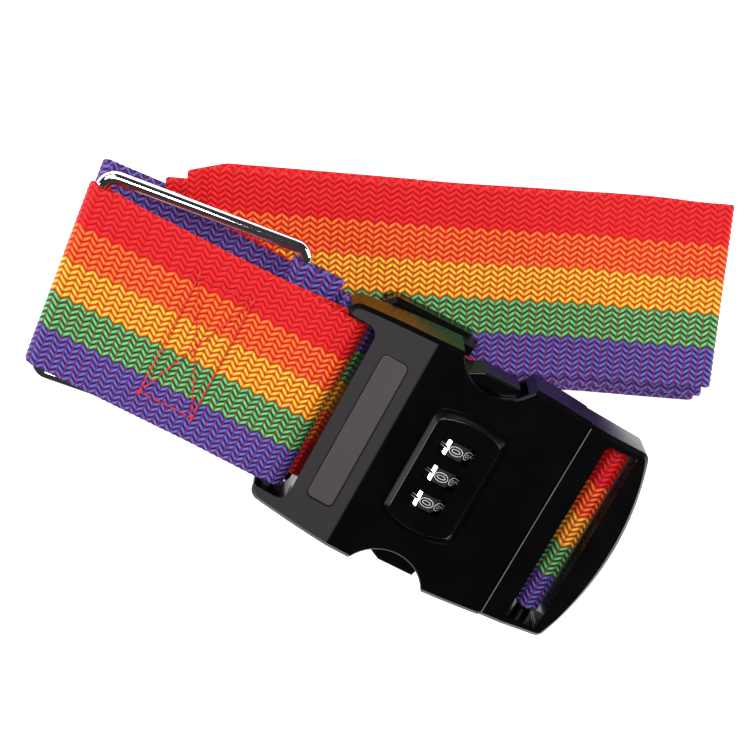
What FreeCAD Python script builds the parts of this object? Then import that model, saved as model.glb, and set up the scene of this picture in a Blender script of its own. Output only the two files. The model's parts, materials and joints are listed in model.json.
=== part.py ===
import FreeCAD, Part
import math
import os

from FreeCAD import Vector

# Luggage strap with a three-dial buckle, lying folded on a flat surface.
# Millimetres. +X runs along the buckle from its webbing bar to its plug, +Z is up,
# and the origin is the middle of the whole object's footprint, on the surface.
# Everything is drawn about the buckle first and moved to that origin when it is written.
FOOTPRINT_MIDDLE = Vector(12.4, 30.8, 0)

# Webbing, sold as 50 mm wide
WEB_WIDTH = 50.4
WEB_HALF = WEB_WIDTH / 2
WEB_THICK = 1.2
LAYER_PITCH = 1.3

# Heights in the pile, counted from the surface
PILE_LAYERS = 6
PILE_BASE = 3.9
PILE_LENGTH = 138.5
PILE_HEADING = 23.5
PILE_START = Vector(-38.3, 15.5, 0)
SAG_X0 = 66.0
SAG_X1 = 106.0
TRI_GLIDE_BASE = 11.8
TAIL_STRAP_Z = 14.5
RETURN_RUN_Z = 19.2
BUCKLE_BASE = 21.3

# Receptacle, in heights above the buckle's own base
SHELL_LENGTH = 69.2
SHELL_HEIGHT = 14.5
SHELL_END_HALF = 29.9
SHELL_BULGE_HALF = 32.3
SHELL_MOUTH_HALF = 30.7
SHELL_ROOF = 1.8
CREASE_X = 24.0
BEVEL_END_HEIGHT = 10.6
EDGE_CHAMFER = 1.1
SEAM_CHAMFER = 0.35
FRAME_OPENING_X = 9.1
FRAME_OPENING_HALF = 26.6
WEB_BAR_X = 3.4
WEB_BAR_Z = 4.6
WEB_BAR_RADIUS = 2.4
WEB_BAR_HALF = 28.2
CAVITY_X = 26.0
CAVITY_HALF = 29.7
COVER_THICK = 1.6
NOTCH_X = 41.8
NOTCH_Y = 37.0
NOTCH_RADIUS = 11.9
SCREW_X = 30.0
SCREW_Y = 14.0
MOUTH_SCREW_X = 62.0
SCREW_RADIUS = 1.0
POST_RADIUS = 2.6

# Dial lock
DIAL_X = 41.4
DIAL_Z = 9.5
DIAL_PITCH = 8.0
WHEEL_RADIUS = 7.0
WHEEL_WIDTH = 4.7
WHEEL_FACETS = 10
WINDOW_HALF_X = 4.7
WINDOW_HALF_Y = 2.5
AXLE_RADIUS = 1.5
BORE_CLEARANCE = 0.05
CAM_RADIUS = 4.2
CAM_WIDTH = 2.4
CAM_OFFSET = 3.65
CAM_SPAN_HALF = 12.95
AXLE_HALF = 14.5
GATE_FLOOR = 2.3
GATE_HALF = 1.2
RESET_X = 30.5
RESET_RADIUS = 1.9
CHEEK_HALF_X = 2.6
CHEEK_THICK = 1.6
CHEEK_LOW = 6.2
LEAF_HALF_X = 5.5
LEAF_HALF_Y = 11.6
LEAF_RIB = 0.75
BAR_X0 = 54.0
BAR_X1 = 57.5
BAR_HALF = 22.1
BAR_LOW = 6.4
BAR_HIGH = 12.2
WING_LENGTH = 3.4
WING_WIDTH = 3.3
FINGER_GAP = 0.8
FINGER_HALF_Y = 0.8
FINGER_HALF_Z = 0.9
SPRING_SEAT_X = 46.0
SPRING_SEAT_THICK = 1.6
SPRING_SEAT_LOW = 7.4
SPRING_Y = 16.2
SPRING_WIRE = 0.22
SPRING_HEIGHT = 6.4
PLATEAU_X0 = 32.0
PLATEAU_X1 = 52.6
PLATEAU_HALF = 15.3
PLATEAU_ARCH = 2.3
PLATEAU_RISE = 2.0
PLATEAU_SLOPE = 1.2
PLATEAU_CORNER = 3.0
PLATEAU_RIM = 0.6
GROOVE_GAP = 0.3
GROOVE_WIDTH = 0.45
GROOVE_DEPTH = 0.35

# Name plate on the sloped end
PLATE_X = 16.7
PLATE_WIDTH = 7.4
PLATE_LENGTH = 43.5
PLATE_DEPTH = 0.7

# Plug
PLUG_X0 = 69.3
PLUG_X1 = 93.0
PLUG_CORNER_X = 87.4
PLUG_SEAM_HALF = 30.4
PLUG_CORNER_HALF = 29.4
PLUG_BEVEL_X = 76.0
PLUG_BEVEL_SLOPE = 0.158
PLUG_WINDOW_X0 = 75.7
PLUG_WINDOW_X1 = 85.0
PLUG_WINDOW_HALF = 27.2
PLUG_BAR_X = 80.85
PLUG_BAR_Z = 7.0
PLUG_BAR_RADIUS = 2.25
PLUG_BAR_HALF = 28.4
PRONG_PIVOT_X = 66.5
PRONG_PIVOT_Y = 26.0
PRONG_ROOT_RADIUS = 2.0
NECK_HALF = 29.4
ARM_OUT = 27.4
ARM_IN = 24.6
ARM_LOW = 3.2
ARM_HIGH = 11.4
TAB_OUT = 29.6
TAB_ROUND = 0.7
TIP_X = 33.2
TAB_X0 = 38.5
TAB_X1 = 48.7
TAB_LOW = 2.0
TAB_HIGH = 12.3
PAD_IN = 22.4
PAD_X0 = 45.5
PAD_X1 = 49.6
TONGUE_X = 58.5
TONGUE_Y0 = 4.0
TONGUE_Y1 = 18.0
TONGUE_HIGH = 4.6

# Three-bar slide that keeps the webbing's tail
TRI_X0 = 8.5
TRI_LENGTH = 28.0
TRI_Y = 1.5
TRI_HALF = 31.2
TRI_SLOT_HALF = 28.4
TRI_BAR = 2.0

# Square ring
RING_WIRE = 3.5
RING_INSIDE_X = 51.8
RING_INSIDE_Y = 53.0
RING_CORNER = 3.4
RING_YAW = 5.6
RING_LEFT = Vector(-67.2, 0.3, 25.6)
RING_DROP = 4.6


def box(x0, x1, y0, y1, z0, z1):
    return Part.makeBox(x1 - x0, y1 - y0, z1 - z0, Vector(x0, y0, z0))


def cylinder(radius, height, base, axis):
    return Part.makeCylinder(radius, height, base, axis)


def prism(points, z0, z1):
    """An upright prism over a plan outline of (x, y) points."""
    corners = [Vector(x, y, z0) for x, y in points]
    face = Part.Face(Part.makePolygon(corners + corners[:1]))
    return face.extrude(Vector(0, 0, z1 - z0))


def cross_prism(points, half_width):
    """A prism along Y over an outline of (x, z) points."""
    corners = [Vector(x, -half_width, z) for x, z in points]
    face = Part.Face(Part.makePolygon(corners + corners[:1]))
    return face.extrude(Vector(0, 2 * half_width, 0))


def rounded_box(x0, x1, y0, y1, z0, z1, radius):
    """A box whose four upright edges are rounded."""
    block = box(x0, x1, y0, y1, z0, z1)
    return block.makeFillet(radius, upright_edges(block))


def upright_edges(shape):
    found = []
    for edge in shape.Edges:
        ends = [v.Point for v in edge.Vertexes]
        if len(ends) == 2 and abs(ends[0].z - ends[1].z) > 0.5:
            if math.hypot(ends[0].x - ends[1].x, ends[0].y - ends[1].y) < 0.01:
                found.append(edge)
    return found


def edges_where(shape, test):
    """Edges whose middle point passes a test."""
    found = []
    for edge in shape.Edges:
        middle = edge.valueAt((edge.FirstParameter + edge.LastParameter) / 2)
        if test(middle):
            found.append(edge)
    return found


def both_sides(shape):
    return shape, shape.mirror(Vector(0, 0, 0), Vector(0, 1, 0))


def lifted(shape):
    """Moves a piece drawn from the buckle's base up to where the buckle lies."""
    return shape.translated(Vector(0, 0, BUCKLE_BASE))


def rounded_path(points, radii):
    """A wire of straight runs through (x, z) points with a tangent arc at each corner."""
    nodes = [Vector(x, 0, z) for x, z in points]
    edges = []
    start = nodes[0]
    for before, corner, after, radius in zip(nodes, nodes[1:], nodes[2:], radii):
        towards = (before - corner).normalize()
        onwards = (after - corner).normalize()
        half_angle = towards.getAngle(onwards) / 2
        reach = radius / math.tan(half_angle)
        arc_start = corner + towards * reach
        arc_end = corner + onwards * reach
        bisector = (towards + onwards).normalize()
        centre = corner + bisector * (radius / math.sin(half_angle))
        arc_middle = centre - bisector * radius
        if (arc_start - start).Length > 0.001:
            edges.append(Part.LineSegment(start, arc_start).toShape())
        edges.append(Part.Arc(arc_start, arc_middle, arc_end).toShape())
        start = arc_end
    edges.append(Part.LineSegment(start, nodes[-1]).toShape())
    return Part.Wire(edges)


def webbing(points, radii, width=WEB_WIDTH):
    """Flat webbing of even thickness that follows a path of (x, z) points."""
    path = rounded_path(points, radii)
    start = Vector(points[0][0], 0, points[0][1])
    along = (Vector(points[1][0], 0, points[1][1]) - start).normalize()
    across = along.cross(Vector(0, 1, 0)) * (WEB_THICK / 2)
    side = Vector(0, width / 2, 0)
    corners = [start + across + side, start + across - side, start - across - side, start - across + side]
    section = Part.makePolygon(corners + corners[:1])
    return path.makePipeShell([section], True, False, 1)


def fold_levels(count, first, pitch):
    return [first + pitch * index for index in range(count)]


def loop_wire(left, right, top, bottom, y):
    """A closed outline at one Y: two half circles (x, z, radius) joined by a top and a bottom line."""
    lx, lz, lr = left
    rx, rz, rr = right
    upper = [Vector(rx, y, rz + rr)] + [Vector(x, y, z) for x, z in top] + [Vector(lx, y, lz + lr)]
    lower = [Vector(lx, y, lz - lr)] + [Vector(x, y, z) for x, z in bottom] + [Vector(rx, y, rz - rr)]
    edges = [Part.LineSegment(a, b).toShape() for a, b in zip(upper, upper[1:])]
    edges.append(Part.Arc(upper[-1], Vector(lx - lr, y, lz), lower[0]).toShape())
    edges += [Part.LineSegment(a, b).toShape() for a, b in zip(lower, lower[1:])]
    edges.append(Part.Arc(lower[-1], Vector(rx + rr, y, rz), upper[0]).toShape())
    return Part.Wire(edges)


# ---------------------------------------------------------------- receptacle

def shell_outline():
    """Plan of the receptacle: a straight mouth, two bulging sides and a straight webbing end."""
    end_top = Vector(0, SHELL_END_HALF, 0)
    mouth_top = Vector(SHELL_LENGTH, SHELL_MOUTH_HALF, 0)
    end_low = Vector(0, -SHELL_END_HALF, 0)
    mouth_low = Vector(SHELL_LENGTH, -SHELL_MOUTH_HALF, 0)
    bulge = SHELL_LENGTH * 0.54
    edges = [
        Part.Arc(end_top, Vector(bulge, SHELL_BULGE_HALF, 0), mouth_top).toShape(),
        Part.LineSegment(mouth_top, mouth_low).toShape(),
        Part.Arc(mouth_low, Vector(bulge, -SHELL_BULGE_HALF, 0), end_low).toShape(),
        Part.LineSegment(end_low, end_top).toShape(),
    ]
    return Part.Face(Part.Wire(edges))


def plateau_outline(inset, z):
    """Plan of the raised dial panel: straight sides, arched ends and rounded corners."""
    x0 = PLATEAU_X0 + inset
    x1 = PLATEAU_X1 - inset
    half = PLATEAU_HALF - inset
    crown = half + PLATEAU_ARCH
    middle = (x0 + x1) / 2
    edges = [
        Part.LineSegment(Vector(x0, -half, z), Vector(x0, half, z)).toShape(),
        Part.Arc(Vector(x0, half, z), Vector(middle, crown, z), Vector(x1, half, z)).toShape(),
        Part.LineSegment(Vector(x1, half, z), Vector(x1, -half, z)).toShape(),
        Part.Arc(Vector(x1, -half, z), Vector(middle, -crown, z), Vector(x0, -half, z)).toShape(),
    ]
    return Part.Wire(edges)


def plateau():
    low = plateau_outline(0, 0)
    high = plateau_outline(PLATEAU_SLOPE, PLATEAU_RISE)
    body = Part.makeLoft([low, high], True, True)
    corners = edges_where(body, lambda p: abs(abs(p.y) - PLATEAU_HALF + 0.6) < 0.8 and 0.2 < p.z < 1.8)
    body = body.makeFillet(PLATEAU_CORNER, [e for e in corners if len(e.Vertexes) == 2])
    rim = edges_where(body, lambda p: p.z > PLATEAU_RISE - 0.01)
    body = body.makeFillet(PLATEAU_RIM, rim)
    return body.translated(Vector(0, 0, SHELL_HEIGHT - 0.01))


def plateau_groove():
    rings = []
    for gap in (GROOVE_GAP + GROOVE_WIDTH, GROOVE_GAP):
        ring = Part.Face(plateau_outline(-gap, 0)).extrude(Vector(0, 0, 1))
        rings.append(ring.makeFillet(PLATEAU_CORNER + gap, upright_edges(ring)))
    return rings[0].cut(rings[1]).translated(Vector(0, 0, SHELL_HEIGHT - GROOVE_DEPTH))


def on_bevel(shape):
    """Lays a piece drawn flat about the origin onto the sloped end, at the name plate's place."""
    rise = SHELL_HEIGHT - BEVEL_END_HEIGHT
    angle = math.degrees(math.atan2(rise, CREASE_X))
    height = BEVEL_END_HEIGHT + rise * PLATE_X / CREASE_X
    placed = shape.copy()
    placed.rotate(Vector(0, 0, 0), Vector(0, 1, 0), -angle)
    return placed.translated(Vector(PLATE_X, 0, height))


def plate_block(grow, z0, z1):
    half_x = PLATE_WIDTH / 2 + grow
    half_y = PLATE_LENGTH / 2 + grow
    return rounded_box(-half_x, half_x, -half_y, half_y, z0, z1, 1.5 + grow)


def notches():
    cut = cylinder(NOTCH_RADIUS, 30, Vector(NOTCH_X, NOTCH_Y, -5), Vector(0, 0, 1))
    return both_sides(cut)


def screw_places():
    return [Vector(SCREW_X, SCREW_Y, 0), Vector(SCREW_X, -SCREW_Y, 0), Vector(MOUTH_SCREW_X, 0, 0)]


def dial_places():
    return [-DIAL_PITCH, 0.0, DIAL_PITCH]


def across_axis(radius, y0, y1):
    """A cylinder along Y on the dials' axis."""
    return cylinder(radius, y1 - y0, Vector(DIAL_X, y0, DIAL_Z), Vector(0, 1, 0))


def on_mouth_or_notch(p):
    """True on the top edges of the mouth and of the two notches."""
    in_notch = abs(math.hypot(p.x - NOTCH_X, abs(p.y) - NOTCH_Y) - NOTCH_RADIUS) < 0.01
    return p.z > SHELL_HEIGHT - 0.01 and (in_notch or p.x > SHELL_LENGTH - 0.01)


def receptacle_shell():
    roof_z = SHELL_HEIGHT - SHELL_ROOF
    outer = shell_outline().extrude(Vector(0, 0, SHELL_HEIGHT))
    outer = outer.makeFillet(3.0, [e for e in upright_edges(outer) if e.Vertexes[0].X < 1])
    slope = (SHELL_HEIGHT - BEVEL_END_HEIGHT) / CREASE_X
    above = [(CREASE_X, SHELL_HEIGHT), (-2, BEVEL_END_HEIGHT - 2 * slope), (-2, 30), (CREASE_X, 30)]
    outer = outer.cut(cross_prism(above, 40))
    rim = edges_where(outer, lambda p: p.z > 9 and (abs(p.y) > 26 or p.x < 1) and p.x < 69)
    outer = outer.makeChamfer(EDGE_CHAMFER, rim)
    for notch in notches():
        outer = outer.cut(notch)
    outer = outer.makeChamfer(SEAM_CHAMFER, edges_where(outer, on_mouth_or_notch))
    body = outer.fuse(plateau())
    opening = rounded_box(-6, FRAME_OPENING_X, -FRAME_OPENING_HALF, FRAME_OPENING_HALF, -1, 20, 3.0)
    body = body.cut(opening)
    body = body.cut(rounded_box(CAVITY_X, 80, -CAVITY_HALF, CAVITY_HALF, -1, roof_z, 2.0))
    bar_start = Vector(WEB_BAR_X, -WEB_BAR_HALF, WEB_BAR_Z)
    bar = cylinder(WEB_BAR_RADIUS, 2 * WEB_BAR_HALF, bar_start, Vector(0, 1, 0))
    body = body.fuse(bar)
    for place in screw_places():
        foot = place + Vector(0, 0, COVER_THICK + 0.1)
        post = cylinder(POST_RADIUS, roof_z - COVER_THICK + 0.1, foot, Vector(0, 0, 1))
        body = body.fuse(post)
    for side in (-1, 1):
        cheek = box(DIAL_X - CHEEK_HALF_X, DIAL_X + CHEEK_HALF_X, CAM_SPAN_HALF, CAM_SPAN_HALF + CHEEK_THICK,
                    CHEEK_LOW, roof_z + 0.1)
        seat = box(SPRING_SEAT_X - SPRING_SEAT_THICK, SPRING_SEAT_X, SPRING_Y - 1.3, SPRING_Y + 1.3,
                   SPRING_SEAT_LOW, roof_z + 0.1)
        if side < 0:
            cheek = cheek.mirror(Vector(0, 0, 0), Vector(0, 1, 0))
            seat = seat.mirror(Vector(0, 0, 0), Vector(0, 1, 0))
        body = body.fuse(cheek).fuse(seat)
    for y in dial_places():
        x0 = DIAL_X - WINDOW_HALF_X
        x1 = DIAL_X + WINDOW_HALF_X
        body = body.cut(box(x0, x1, y - WINDOW_HALF_Y, y + WINDOW_HALF_Y, 11, 20))
        body = body.cut(across_axis(WHEEL_RADIUS + 0.35, y - WINDOW_HALF_Y, y + WINDOW_HALF_Y))
    body = body.cut(across_axis(CAM_RADIUS + 0.35, -CAM_SPAN_HALF, CAM_SPAN_HALF))
    body = body.cut(across_axis(AXLE_RADIUS + 0.01, -AXLE_HALF - 0.8, AXLE_HALF + 0.8))
    for place in screw_places():
        body = body.cut(cylinder(SCREW_RADIUS + 0.02, 9, place + Vector(0, 0, COVER_THICK), Vector(0, 0, 1)))
    body = body.cut(on_bevel(plate_block(0.3, -PLATE_DEPTH, 2)))
    body = body.cut(plateau_groove())
    return lifted(body)


def name_plate():
    plate = plate_block(0, -PLATE_DEPTH, -0.15)
    top = edges_where(plate, lambda p: p.z > -0.2)
    return lifted(on_bevel(plate.makeFillet(0.2, top)))


def back_cover():
    plate = rounded_box(CAVITY_X + 0.15, SHELL_LENGTH - 0.2, -CAVITY_HALF + 0.15, CAVITY_HALF - 0.15,
                        0, COVER_THICK, 1.8)
    for notch in notches():
        plate = plate.cut(notch)
    for place in screw_places():
        plate = plate.cut(cylinder(SCREW_RADIUS + 0.2, 4, place - Vector(0, 0, 1), Vector(0, 0, 1)))
        plate = plate.cut(Part.makeCone(2.35, 1.2, 1.15, place, Vector(0, 0, 1)))
    plate = plate.cut(cylinder(RESET_RADIUS + BORE_CLEARANCE, 4, Vector(RESET_X, 0, -1), Vector(0, 0, 1)))
    return lifted(plate)


def cover_screws():
    screws = []
    for place in screw_places():
        head = Part.makeCone(2.2, SCREW_RADIUS, 1.2, place + Vector(0, 0, 0.05), Vector(0, 0, 1))
        shank = cylinder(SCREW_RADIUS, 8.2, place + Vector(0, 0, 0.5), Vector(0, 0, 1))
        screw = head.fuse(shank)
        slot = box(place.x - 1.5, place.x + 1.5, place.y - 0.25, place.y + 0.25, -0.1, 0.45)
        cross = box(place.x - 0.25, place.x + 0.25, place.y - 1.5, place.y + 1.5, -0.1, 0.45)
        screws.append(screw.cut(slot).cut(cross))
    return lifted(Part.makeCompound(screws))


# ---------------------------------------------------------------- dial lock

def number_wheel(y):
    """A ten-sided wheel with a flat facet uppermost and a bore for the axle."""
    y0 = y - WHEEL_WIDTH / 2
    corners = []
    for index in range(WHEEL_FACETS):
        angle = math.radians(360 / WHEEL_FACETS * index)
        reach = Vector(math.cos(angle), 0, math.sin(angle)) * WHEEL_RADIUS
        corners.append(Vector(DIAL_X, y0, DIAL_Z) + reach)
    wheel = Part.Face(Part.makePolygon(corners + corners[:1])).extrude(Vector(0, WHEEL_WIDTH, 0))
    rims = edges_where(wheel, lambda p: abs(abs(p.y - y) - WHEEL_WIDTH / 2) < 0.01)
    wheel = wheel.makeChamfer(0.25, rims)
    return lifted(wheel.cut(across_axis(AXLE_RADIUS + BORE_CLEARANCE, y - 5, y + 5)))


def code_cam(y):
    """The disc beside a wheel, with the gate that the locking bar's finger enters."""
    middle = y + CAM_OFFSET
    y0 = middle - CAM_WIDTH / 2
    y1 = middle + CAM_WIDTH / 2
    disc = across_axis(CAM_RADIUS, y0, y1)
    gate = box(DIAL_X + GATE_FLOOR, DIAL_X + 6, y0 - 1, y1 + 1, DIAL_Z - GATE_HALF, DIAL_Z + GATE_HALF)
    disc = disc.cut(gate)
    return lifted(disc.cut(across_axis(AXLE_RADIUS + BORE_CLEARANCE, y0 - 1, y1 + 1)))


def dial_axle():
    axle = across_axis(AXLE_RADIUS, -AXLE_HALF, AXLE_HALF)
    return lifted(axle.makeChamfer(0.3, edges_where(axle, lambda p: abs(p.y) > AXLE_HALF - 0.1)))


def detent_spring():
    """A leaf under the wheels with one raised rib across the leaf for each wheel."""
    x0 = DIAL_X - LEAF_HALF_X
    x1 = DIAL_X + LEAF_HALF_X
    leaf = box(x0, x1, -LEAF_HALF_Y, LEAF_HALF_Y, COVER_THICK + 0.05, COVER_THICK + 0.35)
    for y in dial_places():
        start = Vector(DIAL_X, y - WHEEL_WIDTH / 2, COVER_THICK + 0.1)
        rib = cylinder(LEAF_RIB, WHEEL_WIDTH, start, Vector(0, 1, 0))
        leaf = leaf.fuse(rib.common(box(x0, x1, -LEAF_HALF_Y, LEAF_HALF_Y, COVER_THICK + 0.1, 4)))
    for y in (-DIAL_PITCH / 2, DIAL_PITCH / 2):
        leaf = leaf.cut(box(x0 + 2, x1 + 1, y - 0.4, y + 0.4, 0, 4))
    return lifted(leaf)


def locking_bar():
    """A cross bar with two wings beside the prongs and a finger for each code cam."""
    bar = box(BAR_X0, BAR_X1, -BAR_HALF, BAR_HALF, BAR_LOW, BAR_HIGH)
    wing = box(BAR_X0 - WING_LENGTH, BAR_X0 + 0.1, BAR_HALF - WING_WIDTH, BAR_HALF, BAR_LOW, BAR_HIGH)
    for one in both_sides(wing):
        bar = bar.fuse(one)
    tip = DIAL_X + CAM_RADIUS + FINGER_GAP
    for y in dial_places():
        middle = y + CAM_OFFSET
        bar = bar.fuse(box(tip, BAR_X0 + 0.1, middle - FINGER_HALF_Y, middle + FINGER_HALF_Y,
                           DIAL_Z - FINGER_HALF_Z, DIAL_Z + FINGER_HALF_Z))
    return lifted(bar)


def coil(radius, wire, pitch, height, base, axis):
    """A round-wire compression spring whose ends are cut square by its own length."""
    helix = Part.makeHelix(pitch, height, radius)
    section = Part.Wire(Part.makeCircle(wire, Vector(radius, 0, 0), Vector(0, 1, 0)))
    spring = helix.makePipeShell([section], True, True)
    turned = FreeCAD.Placement(base, FreeCAD.Rotation(Vector(0, 0, 1), axis))
    spring.Placement = turned
    return spring


def locking_bar_springs():
    springs = []
    for y in (-SPRING_Y, SPRING_Y):
        start = Vector(SPRING_SEAT_X + SPRING_WIRE + 0.1, y, DIAL_Z)
        springs.append(coil(1.0, SPRING_WIRE, 0.9, SPRING_HEIGHT, start, Vector(1, 0, 0)))
    return lifted(Part.makeCompound(springs))


def reset_button():
    stem = cylinder(RESET_RADIUS, 2.9, Vector(RESET_X, 0, 0.2), Vector(0, 0, 1))
    collar = cylinder(RESET_RADIUS + 0.9, 0.8, Vector(RESET_X, 0, COVER_THICK + 0.1), Vector(0, 0, 1))
    slot = box(RESET_X - 1.2, RESET_X + 1.2, -0.3, 0.3, 0, 0.7)
    return lifted(stem.fuse(collar).cut(slot))


def reset_spring():
    return lifted(coil(1.2, SPRING_WIRE, 1.3, 7.4, Vector(RESET_X, 0, 4.6), Vector(0, 0, 1)))


# ---------------------------------------------------------------- plug

def plug_outline():
    """Plan of the plug: a straight seam, tapering sides and a bowed outer end."""
    seam_top = Vector(PLUG_X0, PLUG_SEAM_HALF, 0)
    corner_top = Vector(PLUG_CORNER_X, PLUG_CORNER_HALF, 0)
    corner_low = Vector(PLUG_CORNER_X, -PLUG_CORNER_HALF, 0)
    seam_low = Vector(PLUG_X0, -PLUG_SEAM_HALF, 0)
    edges = [
        Part.LineSegment(seam_top, corner_top).toShape(),
        Part.Arc(corner_top, Vector(PLUG_X1, 0, 0), corner_low).toShape(),
        Part.LineSegment(corner_low, seam_low).toShape(),
        Part.LineSegment(seam_low, seam_top).toShape(),
    ]
    return Part.Face(Part.Wire(edges))


def on_plug_rim(p):
    outside = abs(p.y) > PLUG_WINDOW_HALF or p.x > PLUG_CORNER_X - 0.8
    return outside and p.z > 10 and p.x > PLUG_X0 + 0.1


def plug_body():
    body = plug_outline().extrude(Vector(0, 0, SHELL_HEIGHT))
    body = body.makeFillet(2.5, [e for e in upright_edges(body) if e.Vertexes[0].X > PLUG_WINDOW_X1])
    far = PLUG_X1 + 3
    low = SHELL_HEIGHT - (far - PLUG_BEVEL_X) * PLUG_BEVEL_SLOPE
    above = [(PLUG_BEVEL_X, SHELL_HEIGHT), (far, low), (far, 30), (PLUG_BEVEL_X, 30)]
    body = body.cut(cross_prism(above, 40))
    body = body.makeChamfer(EDGE_CHAMFER, edges_where(body, on_plug_rim))
    seam = edges_where(body, lambda p: p.z > SHELL_HEIGHT - 0.01 and p.x < PLUG_X0 + 0.01)
    body = body.makeChamfer(SEAM_CHAMFER, seam)
    window = rounded_box(PLUG_WINDOW_X0, PLUG_WINDOW_X1, -PLUG_WINDOW_HALF, PLUG_WINDOW_HALF, -1, 20, 0.8)
    body = body.cut(window)
    bar_start = Vector(PLUG_BAR_X, -PLUG_BAR_HALF, PLUG_BAR_Z)
    bar = cylinder(PLUG_BAR_RADIUS, 2 * PLUG_BAR_HALF, bar_start, Vector(0, 1, 0))
    body = body.fuse(bar)
    body = body.fuse(box(PRONG_PIVOT_X, PLUG_X0 + 1, -NECK_HALF, NECK_HALF, TAB_LOW, TAB_HIGH))
    for side in (-1, 1):
        y0 = min(side * TONGUE_Y0, side * TONGUE_Y1)
        y1 = y0 + TONGUE_Y1 - TONGUE_Y0
        body = body.fuse(box(TONGUE_X, PRONG_PIVOT_X + 0.1, y0, y1, TAB_LOW + 0.1, TONGUE_HIGH))
        pivot = Vector(PRONG_PIVOT_X, side * PRONG_PIVOT_Y, 0)
        body = body.cut(cylinder(PRONG_ROOT_RADIUS + BORE_CLEARANCE, 20, pivot, Vector(0, 0, 1)))
    return lifted(body)


def prong():
    """The +Y prong: a springy arm with a thumb tab outside and a stop pad inside."""
    tab_plan = [(TAB_X1, TAB_OUT), (TAB_X0, TAB_OUT), (TIP_X + 1, ARM_OUT), (TIP_X, ARM_OUT - 1.4)]
    pad_plan = [(PAD_X0 - 0.9, ARM_IN - 0.2), (PAD_X0, PAD_IN), (PAD_X1, PAD_IN), (PAD_X1 + 1, ARM_IN)]
    arm_points = [(PRONG_PIVOT_X, ARM_OUT), (TAB_X1 + 0.7, ARM_OUT)] + tab_plan
    arm_points += [(TIP_X + 1, ARM_IN + 0.1)] + pad_plan + [(PRONG_PIVOT_X, ARM_IN)]
    tab_points = [(TAB_X1 + 0.7, ARM_OUT - 0.6)] + tab_plan
    tab_points += [(TIP_X + 1, ARM_IN + 0.6), (TAB_X1 + 0.7, ARM_IN + 0.6)]
    tab = prism(tab_points, TAB_LOW, TAB_HIGH)
    flat_edges = edges_where(tab, lambda p: min(abs(p.z - TAB_HIGH), abs(p.z - TAB_LOW)) < 0.01)
    tab = tab.makeFillet(TAB_ROUND, flat_edges)
    arm = prism(arm_points, ARM_LOW, ARM_HIGH).fuse(tab)
    pivot = Vector(PRONG_PIVOT_X, PRONG_PIVOT_Y, ARM_LOW)
    root = cylinder(PRONG_ROOT_RADIUS, ARM_HIGH - ARM_LOW, pivot, Vector(0, 0, 1))
    return lifted(arm.fuse(root))


# ---------------------------------------------------------------- slide and ring

def tri_glide():
    x1 = TRI_X0 + TRI_LENGTH
    top = TRI_GLIDE_BASE + 6.5
    frame = box(TRI_X0, x1, TRI_Y - TRI_HALF, TRI_Y + TRI_HALF, TRI_GLIDE_BASE, top)
    frame = frame.makeChamfer(2.8, upright_edges(frame))
    rim = edges_where(frame, lambda p: p.z > top - 0.01)
    frame = frame.makeChamfer(1.2, rim)
    slot_low = TRI_Y - TRI_SLOT_HALF
    slot_high = TRI_Y + TRI_SLOT_HALF
    frame = frame.cut(box(TRI_X0 - 1, x1 + 1, slot_low, slot_high, TRI_GLIDE_BASE - 1, top + 1))
    for middle in (TRI_X0 + 2, x1 - 2):
        frame = frame.fuse(box(middle - 2, middle + 2, slot_low - 1, slot_high + 1,
                               TRI_GLIDE_BASE, TRI_GLIDE_BASE + TRI_BAR))
    middle = TRI_X0 + TRI_LENGTH / 2
    return frame.fuse(box(middle - 2.5, middle + 2.5, slot_low - 1, slot_high + 1, top - 1.7, top))


def square_ring():
    """Round wire bent to a rectangle, its left bar high in the link's fold and its right bar lower."""
    half_y = (RING_INSIDE_Y + RING_WIRE) / 2
    length = RING_INSIDE_X + RING_WIRE
    corners = [Vector(0, half_y, 0), Vector(length, half_y, 0)]
    corners += [Vector(length, -half_y, 0), Vector(0, -half_y, 0)]
    radius = RING_CORNER
    edges = []
    for index in range(4):
        before = corners[index - 1]
        corner = corners[index]
        after = corners[(index + 1) % 4]
        towards = (before - corner).normalize()
        onwards = (after - corner).normalize()
        bend = corner + (towards + onwards) * radius * (1 - math.sqrt(0.5))
        edges.append(Part.Arc(corner + towards * radius, bend, corner + onwards * radius).toShape())
        edges.append(Part.LineSegment(corner + onwards * radius, after - onwards * radius).toShape())
    path = Part.Wire(edges)
    start = corners[0] + Vector(0, -radius, 0)
    section = Part.Wire(Part.makeCircle(RING_WIRE / 2, start, Vector(0, 1, 0)))
    ring = path.makePipeShell([section], True, True)
    pitch = math.degrees(math.asin(RING_DROP / length))
    ring.rotate(Vector(0, 0, 0), Vector(0, 1, 0), pitch)
    ring.rotate(Vector(0, 0, 0), Vector(0, 0, 1), RING_YAW)
    return ring.translated(RING_LEFT)


def ring_bar_x(y, right_bar):
    """X of a ring bar's middle line at a given Y."""
    yaw = math.radians(RING_YAW)
    plan_length = math.sqrt((RING_INSIDE_X + RING_WIRE) ** 2 - RING_DROP ** 2)
    reach = plan_length if right_bar else 0.0
    x = RING_LEFT.x + reach * math.cos(yaw)
    y_middle = RING_LEFT.y + reach * math.sin(yaw)
    return x - (y - y_middle) * math.tan(yaw)


# ---------------------------------------------------------------- webbing

LINK_SLACK = 0.3
LINK_SEWN_Z = 27.65
LINK_SEWN_X0 = -40.0
LINK_SEWN_X1 = -19.0
SEAM_X0 = -37.6
SEAM_X1 = -22.4
SEAM_Y0 = -18.6
SEAM_Y1 = 16.6
THREAD_HALF = 0.25
THREAD_PROUD = 0.3
RING_END_Y = 5.3


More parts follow.
